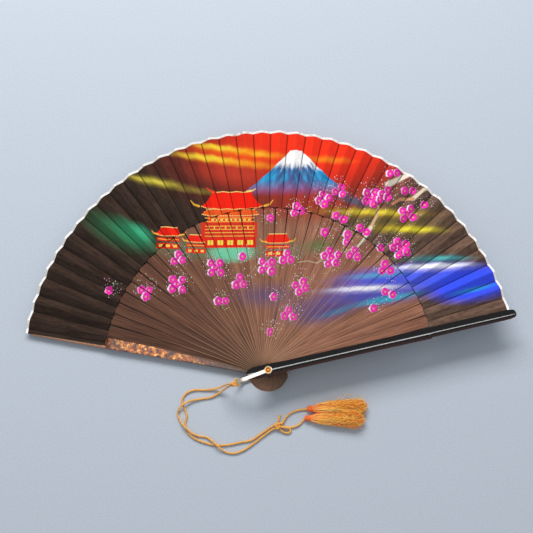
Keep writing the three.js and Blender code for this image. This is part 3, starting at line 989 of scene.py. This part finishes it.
LOOKS = {
    "rim_binding": material("rim_binding", build_binding),
    "front_guard_lacquer": material("front_guard_lacquer", build_front_lacquer),
    "rear_guard_lacquer": material("rear_guard_lacquer", build_rear_lacquer),
    "rivet_copper": metal("rivet_copper", "#c07a44", "#7a4422", 0.45),
    "washer_brass": metal("washer_brass", "#d2a866", "#8a6228", 0.42),
    "bail_metal": metal("bail_steel", "#d9d2c4", "#b4a894", 0.42),
    "cord": material("cord", build_cord),
    "tassel_thread": material("tassel_thread", build_thread),
}


# ---------------------------------------------------------------- mesh helpers
def store(mesh, name, values):
    """A vector for each point, for the materials to read."""
    data = mesh.attributes.new(name, "FLOAT_VECTOR", "POINT").data
    data.foreach_set("vector", np.array(values, np.float32).ravel())


def add_piece(name, points, faces, slot, strip=None, sharp=38, drilled=False, look=None):
    """A mesh from points in millimetres, with the look of its slot unless it has its own. The
    materials read the attributes rest, which are the points themselves, and strip, which are places
    along and across the piece: a list of them, or a function of a point."""
    mesh = bpy.data.meshes.new(name)
    mesh.from_pydata([tuple(c * MM for c in p) for p in points], [], faces)
    shape = bmesh.new()
    shape.from_mesh(mesh)
    bmesh.ops.recalc_face_normals(shape, faces=shape.faces)
    if shape.calc_volume(signed=True) < 0:
        bmesh.ops.reverse_faces(shape, faces=shape.faces)
    shape.to_mesh(mesh)
    shape.free()
    if drilled:
        mesh = drill(mesh)
        points = [tuple(v.co / MM) for v in mesh.vertices]
    if callable(strip):
        strip = [strip(p) for p in points]
    store(mesh, "rest", points)
    if strip:
        store(mesh, "strip", strip)
    mesh.materials.clear()
    mesh.materials.append(look or LOOKS[slot])
    mesh.shade_smooth()
    mesh.set_sharp_from_angle(angle=math.radians(sharp))
    piece = bpy.data.objects.new(name, mesh)
    bpy.context.scene.collection.objects.link(piece)
    return piece


def shell(rows, columns, place):
    """The points and faces of a closed thin shell. place(i, j, side) is a point, on top where side is 1
    and beneath where it is -1."""
    width = columns + 1
    count = (rows + 1) * width
    points = [place(i, j, side) for side in (1, -1) for i in range(rows + 1) for j in range(width)]
    faces = []
    for i in range(rows):
        for j in range(columns):
            a = i * width + j
            quad = (a, a + 1, a + width + 1, a + width)
            faces.append(quad)
            faces.append(tuple(count + k for k in reversed(quad)))
    border = list(range(width))
    border += [i * width + columns for i in range(1, rows + 1)]
    border += [rows * width + j for j in range(columns - 1, -1, -1)]
    border += [i * width for i in range(rows - 1, 0, -1)]
    for a, b in zip(border, border[1:] + border[:1]):
        faces.append((a, b, count + b, count + a))
    return points, faces


def lathe(profile, sides):
    """A solid of revolution about Z; the profile starts and ends on the axis, or closes on itself."""
    points, faces, rings = [], [], []
    for r, z in profile:
        if r == 0:
            rings.append([len(points)])
            points.append((0, 0, z))
            continue
        rings.append(range(len(points), len(points) + sides))
        points += [polar(r, 360 * k / sides, z) for k in range(sides)]
    for low_ring, high_ring in zip(rings, rings[1:]):
        for k in range(sides):
            n = (k + 1) % sides
            corners = [low_ring[k % len(low_ring)], low_ring[n % len(low_ring)]]
            corners += [high_ring[n % len(high_ring)], high_ring[k % len(high_ring)]]
            faces.append(tuple(dict.fromkeys(corners)))
    return points, faces


def frames_along(route):
    """Directions and two crosswise vectors at each point of a route, carried along without twist."""
    points = [Vector(p) for p in route]
    tangents = []
    for k in range(len(points)):
        ahead = points[min(k + 1, len(points) - 1)]
        behind = points[max(k - 1, 0)]
        tangents.append((ahead - behind).normalized())
    normal = tangents[0].orthogonal().normalized()
    result = []
    for t in tangents:
        normal = (normal - t * normal.dot(t)).normalized()
        result.append((t, normal, t.cross(normal)))
    return points, result


def tube(route, radius, sides):
    """A closed tube; radius is a number or a function of the share along the route."""
    points, bases = frames_along(route)
    made, faces = [], []
    last = len(points) - 1
    for k, (centre, (_, n, b)) in enumerate(zip(points, bases)):
        r = radius(k / last) if callable(radius) else radius
        for s in range(sides):
            a = 2 * math.pi * s / sides
            made.append(tuple(centre + n * (r * math.cos(a)) + b * (r * math.sin(a))))
    for k in range(last):
        for s in range(sides):
            n = (s + 1) % sides
            faces.append((k * sides + s, k * sides + n, (k + 1) * sides + n, (k + 1) * sides + s))
    faces.append(tuple(reversed(range(sides))))
    faces.append(tuple(range(last * sides, (last + 1) * sides)))
    return made, faces


def joined(parts):
    """Several lists of points and faces as one."""
    points, faces = [], []
    for more_points, more_faces in parts:
        faces += [tuple(len(points) + k for k in face) for face in more_faces]
        points += more_points
    return points, faces


def smooth_route(route, step):
    """Points about a step apart on a centripetal Catmull-Rom curve through a route."""
    given = [Vector(p) for p in route]
    padded = [given[0] * 2 - given[1], *given, given[-1] * 2 - given[-2]]
    result = []
    for p0, p1, p2, p3 in zip(padded, padded[1:], padded[2:], padded[3:]):
        t1 = math.sqrt((p1 - p0).length)
        t2 = t1 + math.sqrt((p2 - p1).length)
        t3 = t2 + math.sqrt((p3 - p2).length)
        count = max(1, round((p2 - p1).length / step))
        for k in range(count):
            t = lerp(t1, t2, k / count)
            a1 = p0.lerp(p1, t / t1)
            a2 = p1.lerp(p2, (t - t1) / (t2 - t1))
            a3 = p2.lerp(p3, (t - t2) / (t3 - t2))
            b1 = a1.lerp(a2, t / t2)
            b2 = a2.lerp(a3, (t - t1) / (t3 - t1))
            result.append(b1.lerp(b2, (t - t1) / (t2 - t1)))
    return [tuple(p) for p in result] + [tuple(given[-1])]


def route_length(route):
    return sum((Vector(b) - Vector(a)).length for a, b in zip(route, route[1:]))


PLIES = 3
PLY_R = 0.43
PLY_OFFSET = 0.39
TWIST_PITCH = 4.6


def rope(route):
    """Three plies twisted round a route."""
    points, bases = frames_along(route)
    travelled = [0]
    for a, b in zip(points, points[1:]):
        travelled.append(travelled[-1] + (b - a).length)
    parts = []
    for ply in range(PLIES):
        path = []
        for centre, (_, n, b), s in zip(points, bases, travelled):
            a = 2 * math.pi * (ply / PLIES + s / TWIST_PITCH)
            path.append(centre + n * (PLY_OFFSET * math.cos(a)) + b * (PLY_OFFSET * math.sin(a)))
        parts.append(tube(path, PLY_R, 8))
    return joined(parts)


def drill(mesh):
    """The mesh with the rivet's hole cut through it."""
    bpy.ops.mesh.primitive_cylinder_add(vertices=40, radius=HOLE_R * MM, depth=80 * MM)
    cutter = bpy.context.object
    blank = bpy.data.objects.new("blank", mesh)
    bpy.context.scene.collection.objects.link(blank)
    modifier = blank.modifiers.new("hole", "BOOLEAN")
    modifier.operation = "DIFFERENCE"
    modifier.solver = "MANIFOLD"
    modifier.object = cutter
    graph = bpy.context.evaluated_depsgraph_get()
    cut = bpy.data.meshes.new_from_object(blank.evaluated_get(graph))
    cut.name = mesh.name
    bpy.data.objects.remove(blank)
    bpy.data.objects.remove(cutter)
    return cut


# ---------------------------------------------------------------- sticks
ACROSS = [-1, -0.97, -0.88, -0.55, -0.18, 0.18, 0.55, 0.88, 0.97, 1]
EDGE_DROP = {1: 0.3, 0.97: 0.1}


RIB_TAIL = [-15.8, -15.7, -15.5, -15.2, -14.7, -14, -13, -11.6, -9.8, -7.6, -5, -2.4, 0, 2.4, 5]
RIB_BLADE = [*RIB_TAIL, *np.linspace(9, SHOULDER_R - 0.2, 34)]
RIB_SLIP = [SHOULDER_R, SHOULDER_R + 0.5, 134, 142, 152, 164, 176, SLIP_END_R - 1, SLIP_END_R]


def make_rib(i):
    half_width = smooth_outline(BLADE, 1)
    stations = RIB_BLADE + RIB_SLIP
    draw = random.Random(100 + i)
    lean = draw.uniform(-0.3, 0.3)
    warp = draw.uniform(-0.05, 0.05)
    phase = draw.uniform(0, 6)
    azimuth = stick_azimuth(i)
    ridge, valley = fold_line(i, "ridge")[0], fold_line(i, "valley")[0]

    def sideways(r):
        """How far the blade stands off its own axis; the shoulder of a real one is never quite in line."""
        return lean * smoothstep(20, SHOULDER_R, r)

    def place(row, column, side):
        r, v = stations[row], ACROSS[column]
        drop = RIB_THICKNESS * EDGE_DROP.get(abs(v), 0)
        if row < len(RIB_BLADE):
            z = RIB_THICKNESS / 2 * (1 + side) - side * drop + warp * math.sin(r / 28 + phase)
            return turned((r, half_width(r) * v + sideways(r), z + rib_bottom(i)), azimuth)
        narrowing = 0.6 if row == len(stations) - 1 else 1
        y = r * math.sin(math.radians(PITCH / 4)) + SLIP_HALF_WIDTH * v * narrowing
        from_valley = azimuth + math.degrees(math.atan2(y, r)) - valley
        z = leaf_point(r, i, 1 - from_valley / (ridge - valley), -CLOTH_LIFT, 0)[2]
        if r <= SHOULDER_R:
            z = rib_bottom(i) + RIB_THICKNESS / 2
        z += (SLIP_THICKNESS / 2 - drop / 3) * side
        return turned((r, y, z), azimuth)

    def strip(spot):
        x, y, _ = turned(spot, -azimuth)
        half = half_width(x) if x < SHOULDER_R else SLIP_HALF_WIDTH
        return (x, (y - sideways(x)) / half, 0)

    outside = shell(len(stations) - 1, len(ACROSS) - 1, place)
    piece = add_piece(
        f"rib_{i:02d}_wood", *outside, "rib_wood", strip, drilled=True, look=rib_material(i),
    )
    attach(piece, f"rib_{i:02d}")
    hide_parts(f"rib_{i:02d}")


GUARD_HALF = [0.3, 0.55, 0.75, 0.88, 0.95, 0.985, 1]
GUARD_ACROSS = [*(-v for v in reversed(GUARD_HALF)), 0, *GUARD_HALF]
GUARD_TAIL = [-16.8, -16.75, -16.6, -16.3, -15.8, -15.1, -14.2, -13, -11.4, -9.4, -7, -4.6, -2.2, 0, 2.2, 4.6]
GUARD_BODY = [*GUARD_TAIL, 7, *np.linspace(10, 126, 42), 126.4, 127, 128]
GUARD_ROUND = 0.5  # radius of a guard's long edges


def make_guard(name, node_name, azimuth, z, face):
    """A guard whose rounded face looks up where face is 1 and down where it is -1."""
    end_r = TIP_R[node_name]
    outline = GUARD + [(end_r - back, *halves) for back, *halves in GUARD_TIP]
    towards_leaf = smooth_outline(outline, 1)
    outwards = smooth_outline(outline, 2)
    tip = [end_r - back for back in (5.5, 3.5, 2.1, 1.2, 0.6, 0.25, 0.05, 0)]
    stations = [*GUARD_BODY, *np.linspace(131, end_r - 7.5, 20), *tip]

    def place(row, column, side):
        r, v = stations[row], GUARD_ACROSS[column]
        leafward = v * face > 0
        half = towards_leaf(r) if leafward else outwards(r)
        inset = min(1, max(0, abs(v) * half - (half - GUARD_ROUND)) / GUARD_ROUND)
        drop = GUARD_ROUND * (1 - math.sqrt(max(0, 1 - inset**2)))
        end = min(r + 16.8, end_r - r)
        drop += 0.5 * (1 - math.sqrt(min(1, max(0, end / 1.2))))
        outer = GUARD_THICKNESS - GUARD_CROWN * v * v - drop
        inner = GUARD_RELIEF * smoothstep(RELIEF_START - 0.4, RELIEF_START + 0.6, r) + min(drop, 0.2)
        height = outer if side > 0 else inner
        return turned((r, face * half * v, z + face * height), azimuth)

    def strip(spot):
        x, y, h = turned(spot, -azimuth)
        return (x, y / outwards(x), (h - z) * face / GUARD_THICKNESS)

    outside = shell(len(stations) - 1, len(GUARD_ACROSS) - 1, place)
    piece = add_piece(name, *outside, f"{node_name}_lacquer", strip, sharp=50, drilled=True)
    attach(piece, node_name)
    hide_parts(node_name)


# ---------------------------------------------------------------- leaf and binding
CLOTH_THICKNESS = 0.12
CLOTH_LIFT = SLIP_THICKNESS / 2 + CLOTH_THICKNESS / 2 + 0.06
PANEL = [0, 0.03, 0.07, 0.13, 0.22, 0.36, 0.5, 0.64, 0.78, 0.87, 0.93, 0.97, 1]
LEAF_ROWS = 30


# The leaf's flat strips on the guards' relieved faces.
REAR_STRIP_Z = REAR_GUARD_TOP - GUARD_RELIEF + 0.2
FRONT_STRIP_Z = FRONT_GUARD_BOTTOM + GUARD_RELIEF - 0.2


def fold_jitter(key, size):
    return random.Random(key).uniform(-size, size)


def fold_line(i, kind):
    """Azimuth, height of the middle, which side of it (1 ridge, -1 valley, 0 flat) and how far the
    edge stands out, for the ridge before stick i or the valley on it."""
    rib_middle = rib_bottom(i) + RIB_THICKNESS / 2 + CLOTH_LIFT
    if kind == "valley":
        if i == 0:
            return stick_azimuth(0), REAR_STRIP_Z, 0, 0
        return stick_azimuth(i) + fold_jitter(i, 0.1), rib_middle, -1, -0.12 + fold_jitter(i + 40, 0.1)
    if i > RIB_COUNT:
        return ridge_azimuth(i), FRONT_STRIP_Z, 0, 0
    height = lerp(0.93, 1.03, random.Random(i + 9).random())
    return ridge_azimuth(i) + fold_jitter(i + 80, 0.12), rib_middle, height, 0.12 + fold_jitter(i + 120, 0.12)


def folded(t):
    """Height share across a panel from a valley at 0 to a ridge at 1, with rounded folds."""
    tight, loose = 0.03, 0.12
    whole = 1 - tight / 2 - loose / 2
    if t < tight:
        return t * t / (2 * tight) / whole
    if t > 1 - loose:
        return 1 - (1 - t) ** 2 / (2 * loose) / whole
    return (t - tight / 2) / whole


def leaf_point(r, i, across, offset, edge_share):
    """A point of the leaf over stick i: across is 0 on the ridge before it, 1 in its valley and 2 on
    the next ridge."""
    start, end = (fold_line(i, "ridge"), fold_line(i, "valley")) if across <= 1 else (
        fold_line(i + 1, "ridge"), fold_line(i, "valley"))
    t = 1 - across if across <= 1 else across - 1
    azimuth = lerp(end[0], start[0], t)
    s = folded(t)
    heights = [line[1] + line[2] * pleat_height(r) for line in (end, start)]
    z = lerp(heights[0], heights[1], s)
    belly = math.sin(math.pi * t)
    z += belly * 0.09 * noise.noise(Vector((r / 24, i * 1.7, across * 0.8)))
    r += edge_share * lerp(end[3], start[3], t)
    return polar(r, azimuth, z + offset)


def add_strip(name, slot, radii, columns, place, **more):
    """A thin piece of the leaf or its binding, where place(row, across, side) is a point."""
    points, faces = shell(
        len(radii) - 1, len(columns) - 1, lambda i, j, side: place(i, columns[j], side),
    )
    strip = [(r, across, 0) for r in radii for across in columns] * 2
    piece = add_piece(name, points, faces, slot, strip, **more)
    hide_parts("leaf" if slot == "leaf_cloth" else slot)
    return piece


LEAF_RADII = [lerp(*LEAF_R, row / LEAF_ROWS) for row in range(LEAF_ROWS + 1)]
# The binding's outline: how far out, and half its thickness there.
RIM_RING = [(RIM_R[0], 0.11), (189.4, 0.13), (190.0, 0.14), (190.35, 0.08), (RIM_R[1], 0)]
RIM_LIFT = 0.02
SEGMENT_COLUMNS = [1 - t for t in reversed(PANEL)] + [1 + t for t in PANEL[1:]]


def make_segment(i):
    """The leaf and its binding over stick i, from the ridge before it to the next ridge."""
    azimuth = stick_azimuth(i)

    def on_guard(across):
        return i == 0 and across < 1

    def place(r, across, offset, edge_share):
        if on_guard(across):
            return polar(r, lerp(azimuth, LEAF_START, 1 - across), REAR_STRIP_Z + offset)
        return leaf_point(r, i, across, offset, edge_share)

    def leaf_place(row, across, side):
        return place(LEAF_RADII[row], across, side * CLOTH_THICKNESS / 2, (row / LEAF_ROWS) ** 6)

    def rim_place(row, across, side):
        r, half = RIM_RING[row]
        return place(r, across, side * (half if on_guard(across) else half + RIM_LIFT), 1)

    ring = [r for r, _ in RIM_RING]
    pieces = [
        add_strip(
            f"leaf_{i:02d}", "leaf_cloth", LEAF_RADII, SEGMENT_COLUMNS, leaf_place, sharp=60,
            look=leaf_material(i),
        ),
        add_strip(f"binding_{i:02d}", "rim_binding", ring, SEGMENT_COLUMNS, rim_place, sharp=60),
    ]
    start = Vector(polar(LEAF_R[0], azimuth, rib_bottom(max(i, 1)))) * MM
    width = BLEND_R * math.sin(math.radians(HALF_PITCH))
    end = start + Vector(polar(width, azimuth - 90, 0)) * MM
    for piece in pieces:
        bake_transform(piece)
    return pieces


def make_last_panel():
    """The last flat strip of the leaf, glued under the front guard."""
    first, last = ridge_azimuth(RIB_COUNT + 1), stick_azimuth(RIB_COUNT + 1)
    columns = [0, 0.25, 0.5, 0.75, 1]
    ring = [lerp(*RIM_R, row / 3) for row in range(4)]

    def placing_at(radii, half):
        return lambda row, across, side: polar(
            radii[row], lerp(first, last, across), FRONT_STRIP_Z + side * half,
        )

    look = leaf_material(RIB_COUNT + 1)
    flat_leaf = placing_at(LEAF_RADII, CLOTH_THICKNESS / 2)
    pieces = [
        add_strip("leaf_end", "leaf_cloth", LEAF_RADII, columns, flat_leaf, look=look),
        add_strip("binding_end", "rim_binding", ring, columns, placing_at(ring, 0.13)),
    ]
    for piece in pieces:
        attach(piece, "front_guard")
    return pieces


def make_leaf():
    end_pieces = make_last_panel()
    for i in range(RIB_COUNT + 1):
        leaf, rim = make_segment(i)


# ---------------------------------------------------------------- rivet and bail
def dome(radius, bottom, top, steps=8):
    """Profile points of a dome from its rim to the axis."""
    return [
        (radius * math.cos(math.pi / 2 * k / steps), lerp(bottom, top, math.sin(math.pi / 2 * k / steps)))
        for k in range(steps)
    ] + [(0, top)]


def add_turned(name, profile, slot, node_name):
    piece = add_piece(name, *lathe(profile, 40), slot, sharp=45)
    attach(piece, "rear_guard")
    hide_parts(node_name)


def make_rivet():
    foot, peak = low("rivet").z, high("rivet").z
    washer_low, washer_high = low("rivet_washer").z, high("rivet_washer").z
    add_turned("rivet_turned", [
        (0, foot), (2.1, foot), (2.45, foot + 0.1), (2.6, foot + 0.35), (2.55, 0.75), (2.4, 0.9),
        (SHANK_R, 0.9), (SHANK_R, washer_high + 0.2), (1.8, washer_high + 0.22), (1.86, washer_high + 0.3),
        *dome(1.82, washer_high + 0.4, peak),
    ], "rivet_copper", "rivet")
    add_turned("washer_turned", [
        (1.62, washer_low + 0.05), (2.5, washer_low), (2.62, washer_low + 0.12), (2.5, washer_high + 0.05),
        (2.1, washer_high + 0.16), (1.75, washer_high + 0.08), (1.62, washer_high), (1.62, washer_low + 0.05),
    ], "washer_brass", "rivet_washer")


def bail_route():
    """The middle line of the bail's strip in its own plane, from the lower eye to the upper one."""
    reach = BAIL_REACH - BAIL_THICKNESS / 2
    bottom = BAIL_BOTTOM + BAIL_THICKNESS / 2
    top = BAIL_TOP - BAIL_THICKNESS / 2
    r = BAIL_BEND_R - BAIL_THICKNESS / 2
    xs = [-2.98, -2.9, -2.7, -2.4, -2, -1.5, -1, -0.4, 0.2, 0.8, 1.4, 1.9, 2.3, 2.6, 3, 4, 6, 9, 12, 15]

    def bend(first, height):
        angles = [math.radians(first + 90 * k / 16) for k in range(17)]
        return [(reach - r + r * math.cos(a), height + r * math.sin(a)) for a in angles]

    upright = [(reach, lerp(bottom + r, top - r, k / 4)) for k in (1, 2, 3)]
    legs = [(x, bottom) for x in xs], [(x, top) for x in reversed(xs)]
    return legs[0] + bend(-90, bottom + r) + upright + bend(0, top - r) + legs[1]


def make_bail():
    route = bail_route()
    columns = [-1, -0.93, -0.75, -0.4, 0, 0.4, 0.75, 0.93, 1]
    drops = {1: 0.2, 0.93: 0.06}

    def place(row, column, side):
        x, z = route[row]
        before, after = route[max(row - 1, 0)], route[min(row + 1, len(route) - 1)]
        run = math.hypot(after[0] - before[0], after[1] - before[1])
        normal = ((after[1] - before[1]) / run, -(after[0] - before[0]) / run)
        half = BAIL_WIDTH / 2
        if abs(x) < BAIL_EYE_R:
            half = max(half if x > 0 else 0, math.sqrt(BAIL_EYE_R**2 - x**2))
        v = columns[column]
        depth = side * (BAIL_THICKNESS / 2 - drops.get(abs(v), 0))
        return turned((x + normal[0] * depth, half * v, z + normal[1] * depth), BAIL_AZIMUTH)

    outside = shell(len(route) - 1, len(columns) - 1, place)
    piece = add_piece("bail_strip", *outside, "bail_metal", sharp=50, drilled=True)
    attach(piece, "bail")
    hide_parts("bail")


# ---------------------------------------------------------------- cord and tassels
def add_on_bail(name, shape, slot, nodes, **more):
    """A piece that moves with the bail and stands for some of the frame's nodes."""
    piece = add_piece(name, *shape, slot, **more)
    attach(piece, "bail")
    if nodes:
        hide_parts(*nodes)
    return piece


def add_rope(name, route, *nodes):
    return add_on_bail(name, rope(route), "cord", nodes, sharp=60)


def on_bail(x, y, z):
    """A point of the bail's own axes in the frame's."""
    return turned((x, y, z), BAIL_AZIMUTH)


def make_hitch():
    """Turns of the cord round the bail's upright, and the small knot that closes them."""
    reach = BAIL_REACH - BAIL_THICKNESS / 2
    wide, deep = BAIL_WIDTH / 2 + 0.9, BAIL_THICKNESS / 2 + 0.95
    turns, steps = 2.5, 60
    route = []
    for k in range(steps + 1):
        a = 2 * math.pi * turns * k / steps
        flat = (abs(math.cos(a)) ** 3 + abs(math.sin(a)) ** 3) ** (-1 / 3)
        height = lerp(14.2, 17.8, k / steps)
        route.append(on_bail(reach + deep * flat * math.cos(a), wide * flat * math.sin(a), height))
    wraps = add_rope("hitch_turns", route, "cord_hitch")
    knot = knot_route(Vector(on_bail(27.6, 0.3, 15.9)), Vector((1.9, 1.7, 1.5)))
    return wraps, add_rope("hitch_knot", knot)


def knot_route(centre, radii):
    """A leaning trefoil that fills an ellipsoid, as a route."""
    route = []
    steps, lean = 90, 0.35
    for k in range(steps + 1):
        t = 2 * math.pi * k / steps
        x = (math.sin(t) + 2 * math.sin(2 * t)) / 3
        y = (math.cos(t) - 2 * math.cos(2 * t)) / 3
        z = -math.sin(3 * t)
        route.append(tuple(centre + radii * Vector((x + lean * y, y, z * 0.6))))
    return route


def make_tassel(side):
    start, azimuth = TASSELS[side]
    base = Vector(start)
    draw = random.Random(side)
    profile = smooth_outline([(3, 1.6), (6, 2.9), (9, 3.9), (15, 5), (27, 5.6), (38, 5.9), (48, 4.6)], 1)

    def lay(along, sideways, up):
        """A point beside the tassel's own axis, no lower than the floor."""
        x, y, _ = turned((along, sideways, 0), azimuth)
        rise = math.sin(math.radians(TASSEL_RISE)) * along
        return Vector((base.x + x, base.y + y, max(FLOOR_GAP, base.z + rise + up)))

    wraps = []
    for turn_start, radius in ((0.3, 1.55), (1.3, 1.8), (2.3, 1.75), (3.3, 1.55)):
        ring = []
        for k in range(25):
            a = 2 * math.pi * k / 24
            ring.append(lay(turn_start + k / 24, radius * math.cos(a), radius * 0.8 * math.sin(a)))
        wraps.append(tube(ring, 0.55, 8))
    core = [lay(x, 0, 0) for x in (-0.4, 0.4, 1.5, 3, 4.2)]
    wraps.append(tube(core, lambda t: 1.5 * math.sin(math.pi * (0.12 + 0.76 * t)) ** 0.5, 14))
    wound = joined(wraps)
    strip = [(0.0, 0.25, 0.2)] * len(wound[0])
    head = add_on_bail(
        f"tassel_{side}_head", wound, "tassel_thread", [f"tassel_head_{side}"], strip=strip, sharp=60,
    )

    parts, strip = [], []
    count, steps = 240, 34
    for n in range(count):
        spread = math.sqrt(draw.random())
        angle = draw.uniform(0, 2 * math.pi)
        stray = draw.random() < 0.14
        reach = draw.uniform(34, 46) if stray else 46.5 - 5 * spread**3 - 6 * draw.random() ** 2.2
        loose = draw.uniform(1.25, 1.75) if stray else 1.0
        curl = draw.uniform(0.3, 1.0)
        pitch = draw.uniform(2.8, 6)
        phase = draw.uniform(0, 6)
        drift = draw.uniform(-1.3, 1.3)
        # Each thread's share of painted light, which its material shows as a painted highlight or painted
        # shade.
        shade, painted_light_share = draw.random(), draw.random()
        path = []
        for k in range(steps + 1):
            t = k / steps
            along = 2.6 + (reach - 2.6) * t
            wide = profile(along) * spread * lerp(1, loose, smoothstep(0.3, 1, t))
            a = angle + drift * t + 0.35 * math.sin(along / 9 + phase)
            wave = curl * smoothstep(0.08, 0.6, t)
            cycle = 2 * math.pi * along / pitch
            y = wide * math.cos(a) + wave * math.sin(cycle + phase)
            z = wide * TASSEL_FLATNESS * math.sin(a) + 0.6 * wave * math.cos(cycle + phase * 2)
            bent = along + 0.5 * wave * math.sin(cycle / 1.7 + 2 * phase)
            path.append(lay(bent, y, z))
        made = tube(path, lambda t: 0.25 * (1 - 0.35 * t), 5)
        strip += [(min(1, j // 5 / steps), shade, painted_light_share) for j in range(len(made[0]))]
        parts.append(made)
    skirt = add_on_bail(
        f"tassel_{side}_threads", joined(parts), "tassel_thread", [f"tassel_skirt_{side}"],
        strip=strip, sharp=70,
    )
    return head, skirt


def make_strand(name, route, nodes, pieces):
    path = smooth_route(route, 0.75)
    piece = add_rope(name, path, *nodes)
    route_length(path) * MM
    [[c * MM for c in p] for p in path]


def make_cord():
    hitch = make_hitch()
    knot = add_rope("knot_turns", knot_route(KNOT_CENTRE, KNOT_RADII - Vector((0.5, 0.5, 0.4))), "cord_knot")
    tail = add_rope("knot_tail_end", smooth_route(KNOT_TAIL, 0.6), "knot_tail")
    bow = add_rope("knot_bow", smooth_route(KNOT_LOOP, 0.6), "knot_loop")
    upper, lower = make_tassel("upper"), make_tassel("lower")
    make_strand(
        "strand_a", [*STRAND_A, (6.4, -40.2, 2.1), *LEAD_UPPER, (30.6, -29.6, 2)],
        ["cord_strand_a", "tassel_lead_upper"], [*hitch, knot, tail, bow, *upper],
    )
    make_strand(
        "strand_b", [*STRAND_B, (7, -43.1, 2.1), *LEAD_LOWER, (28.6, -36.6, 2)],
        ["cord_strand_b", "tassel_lead_lower"], [*lower],
    )


FLOOR_HALF = 3  # metres


def make_floor():
    mesh = bpy.data.meshes.new("floor")
    corners = [(x * FLOOR_HALF, y * FLOOR_HALF, 0) for x, y in ((-1, -1), (1, -1), (1, 1), (-1, 1))]
    mesh.from_pydata(corners, [], [(0, 1, 2, 3)])
    mesh.materials.append(material("floor", build_floor))
    floor = bpy.data.objects.new("floor", mesh)
    bpy.context.scene.collection.objects.link(floor)


make_cord()
for number in range(1, RIB_COUNT + 1):
    make_rib(number)
make_guard("guard_rear", "rear_guard", stick_azimuth(0), REAR_GUARD_TOP, -1)
make_guard("guard_front", "front_guard", stick_azimuth(RIB_COUNT + 1), FRONT_GUARD_BOTTOM, 1)
make_leaf()
make_rivet()
make_bail()
make_floor()
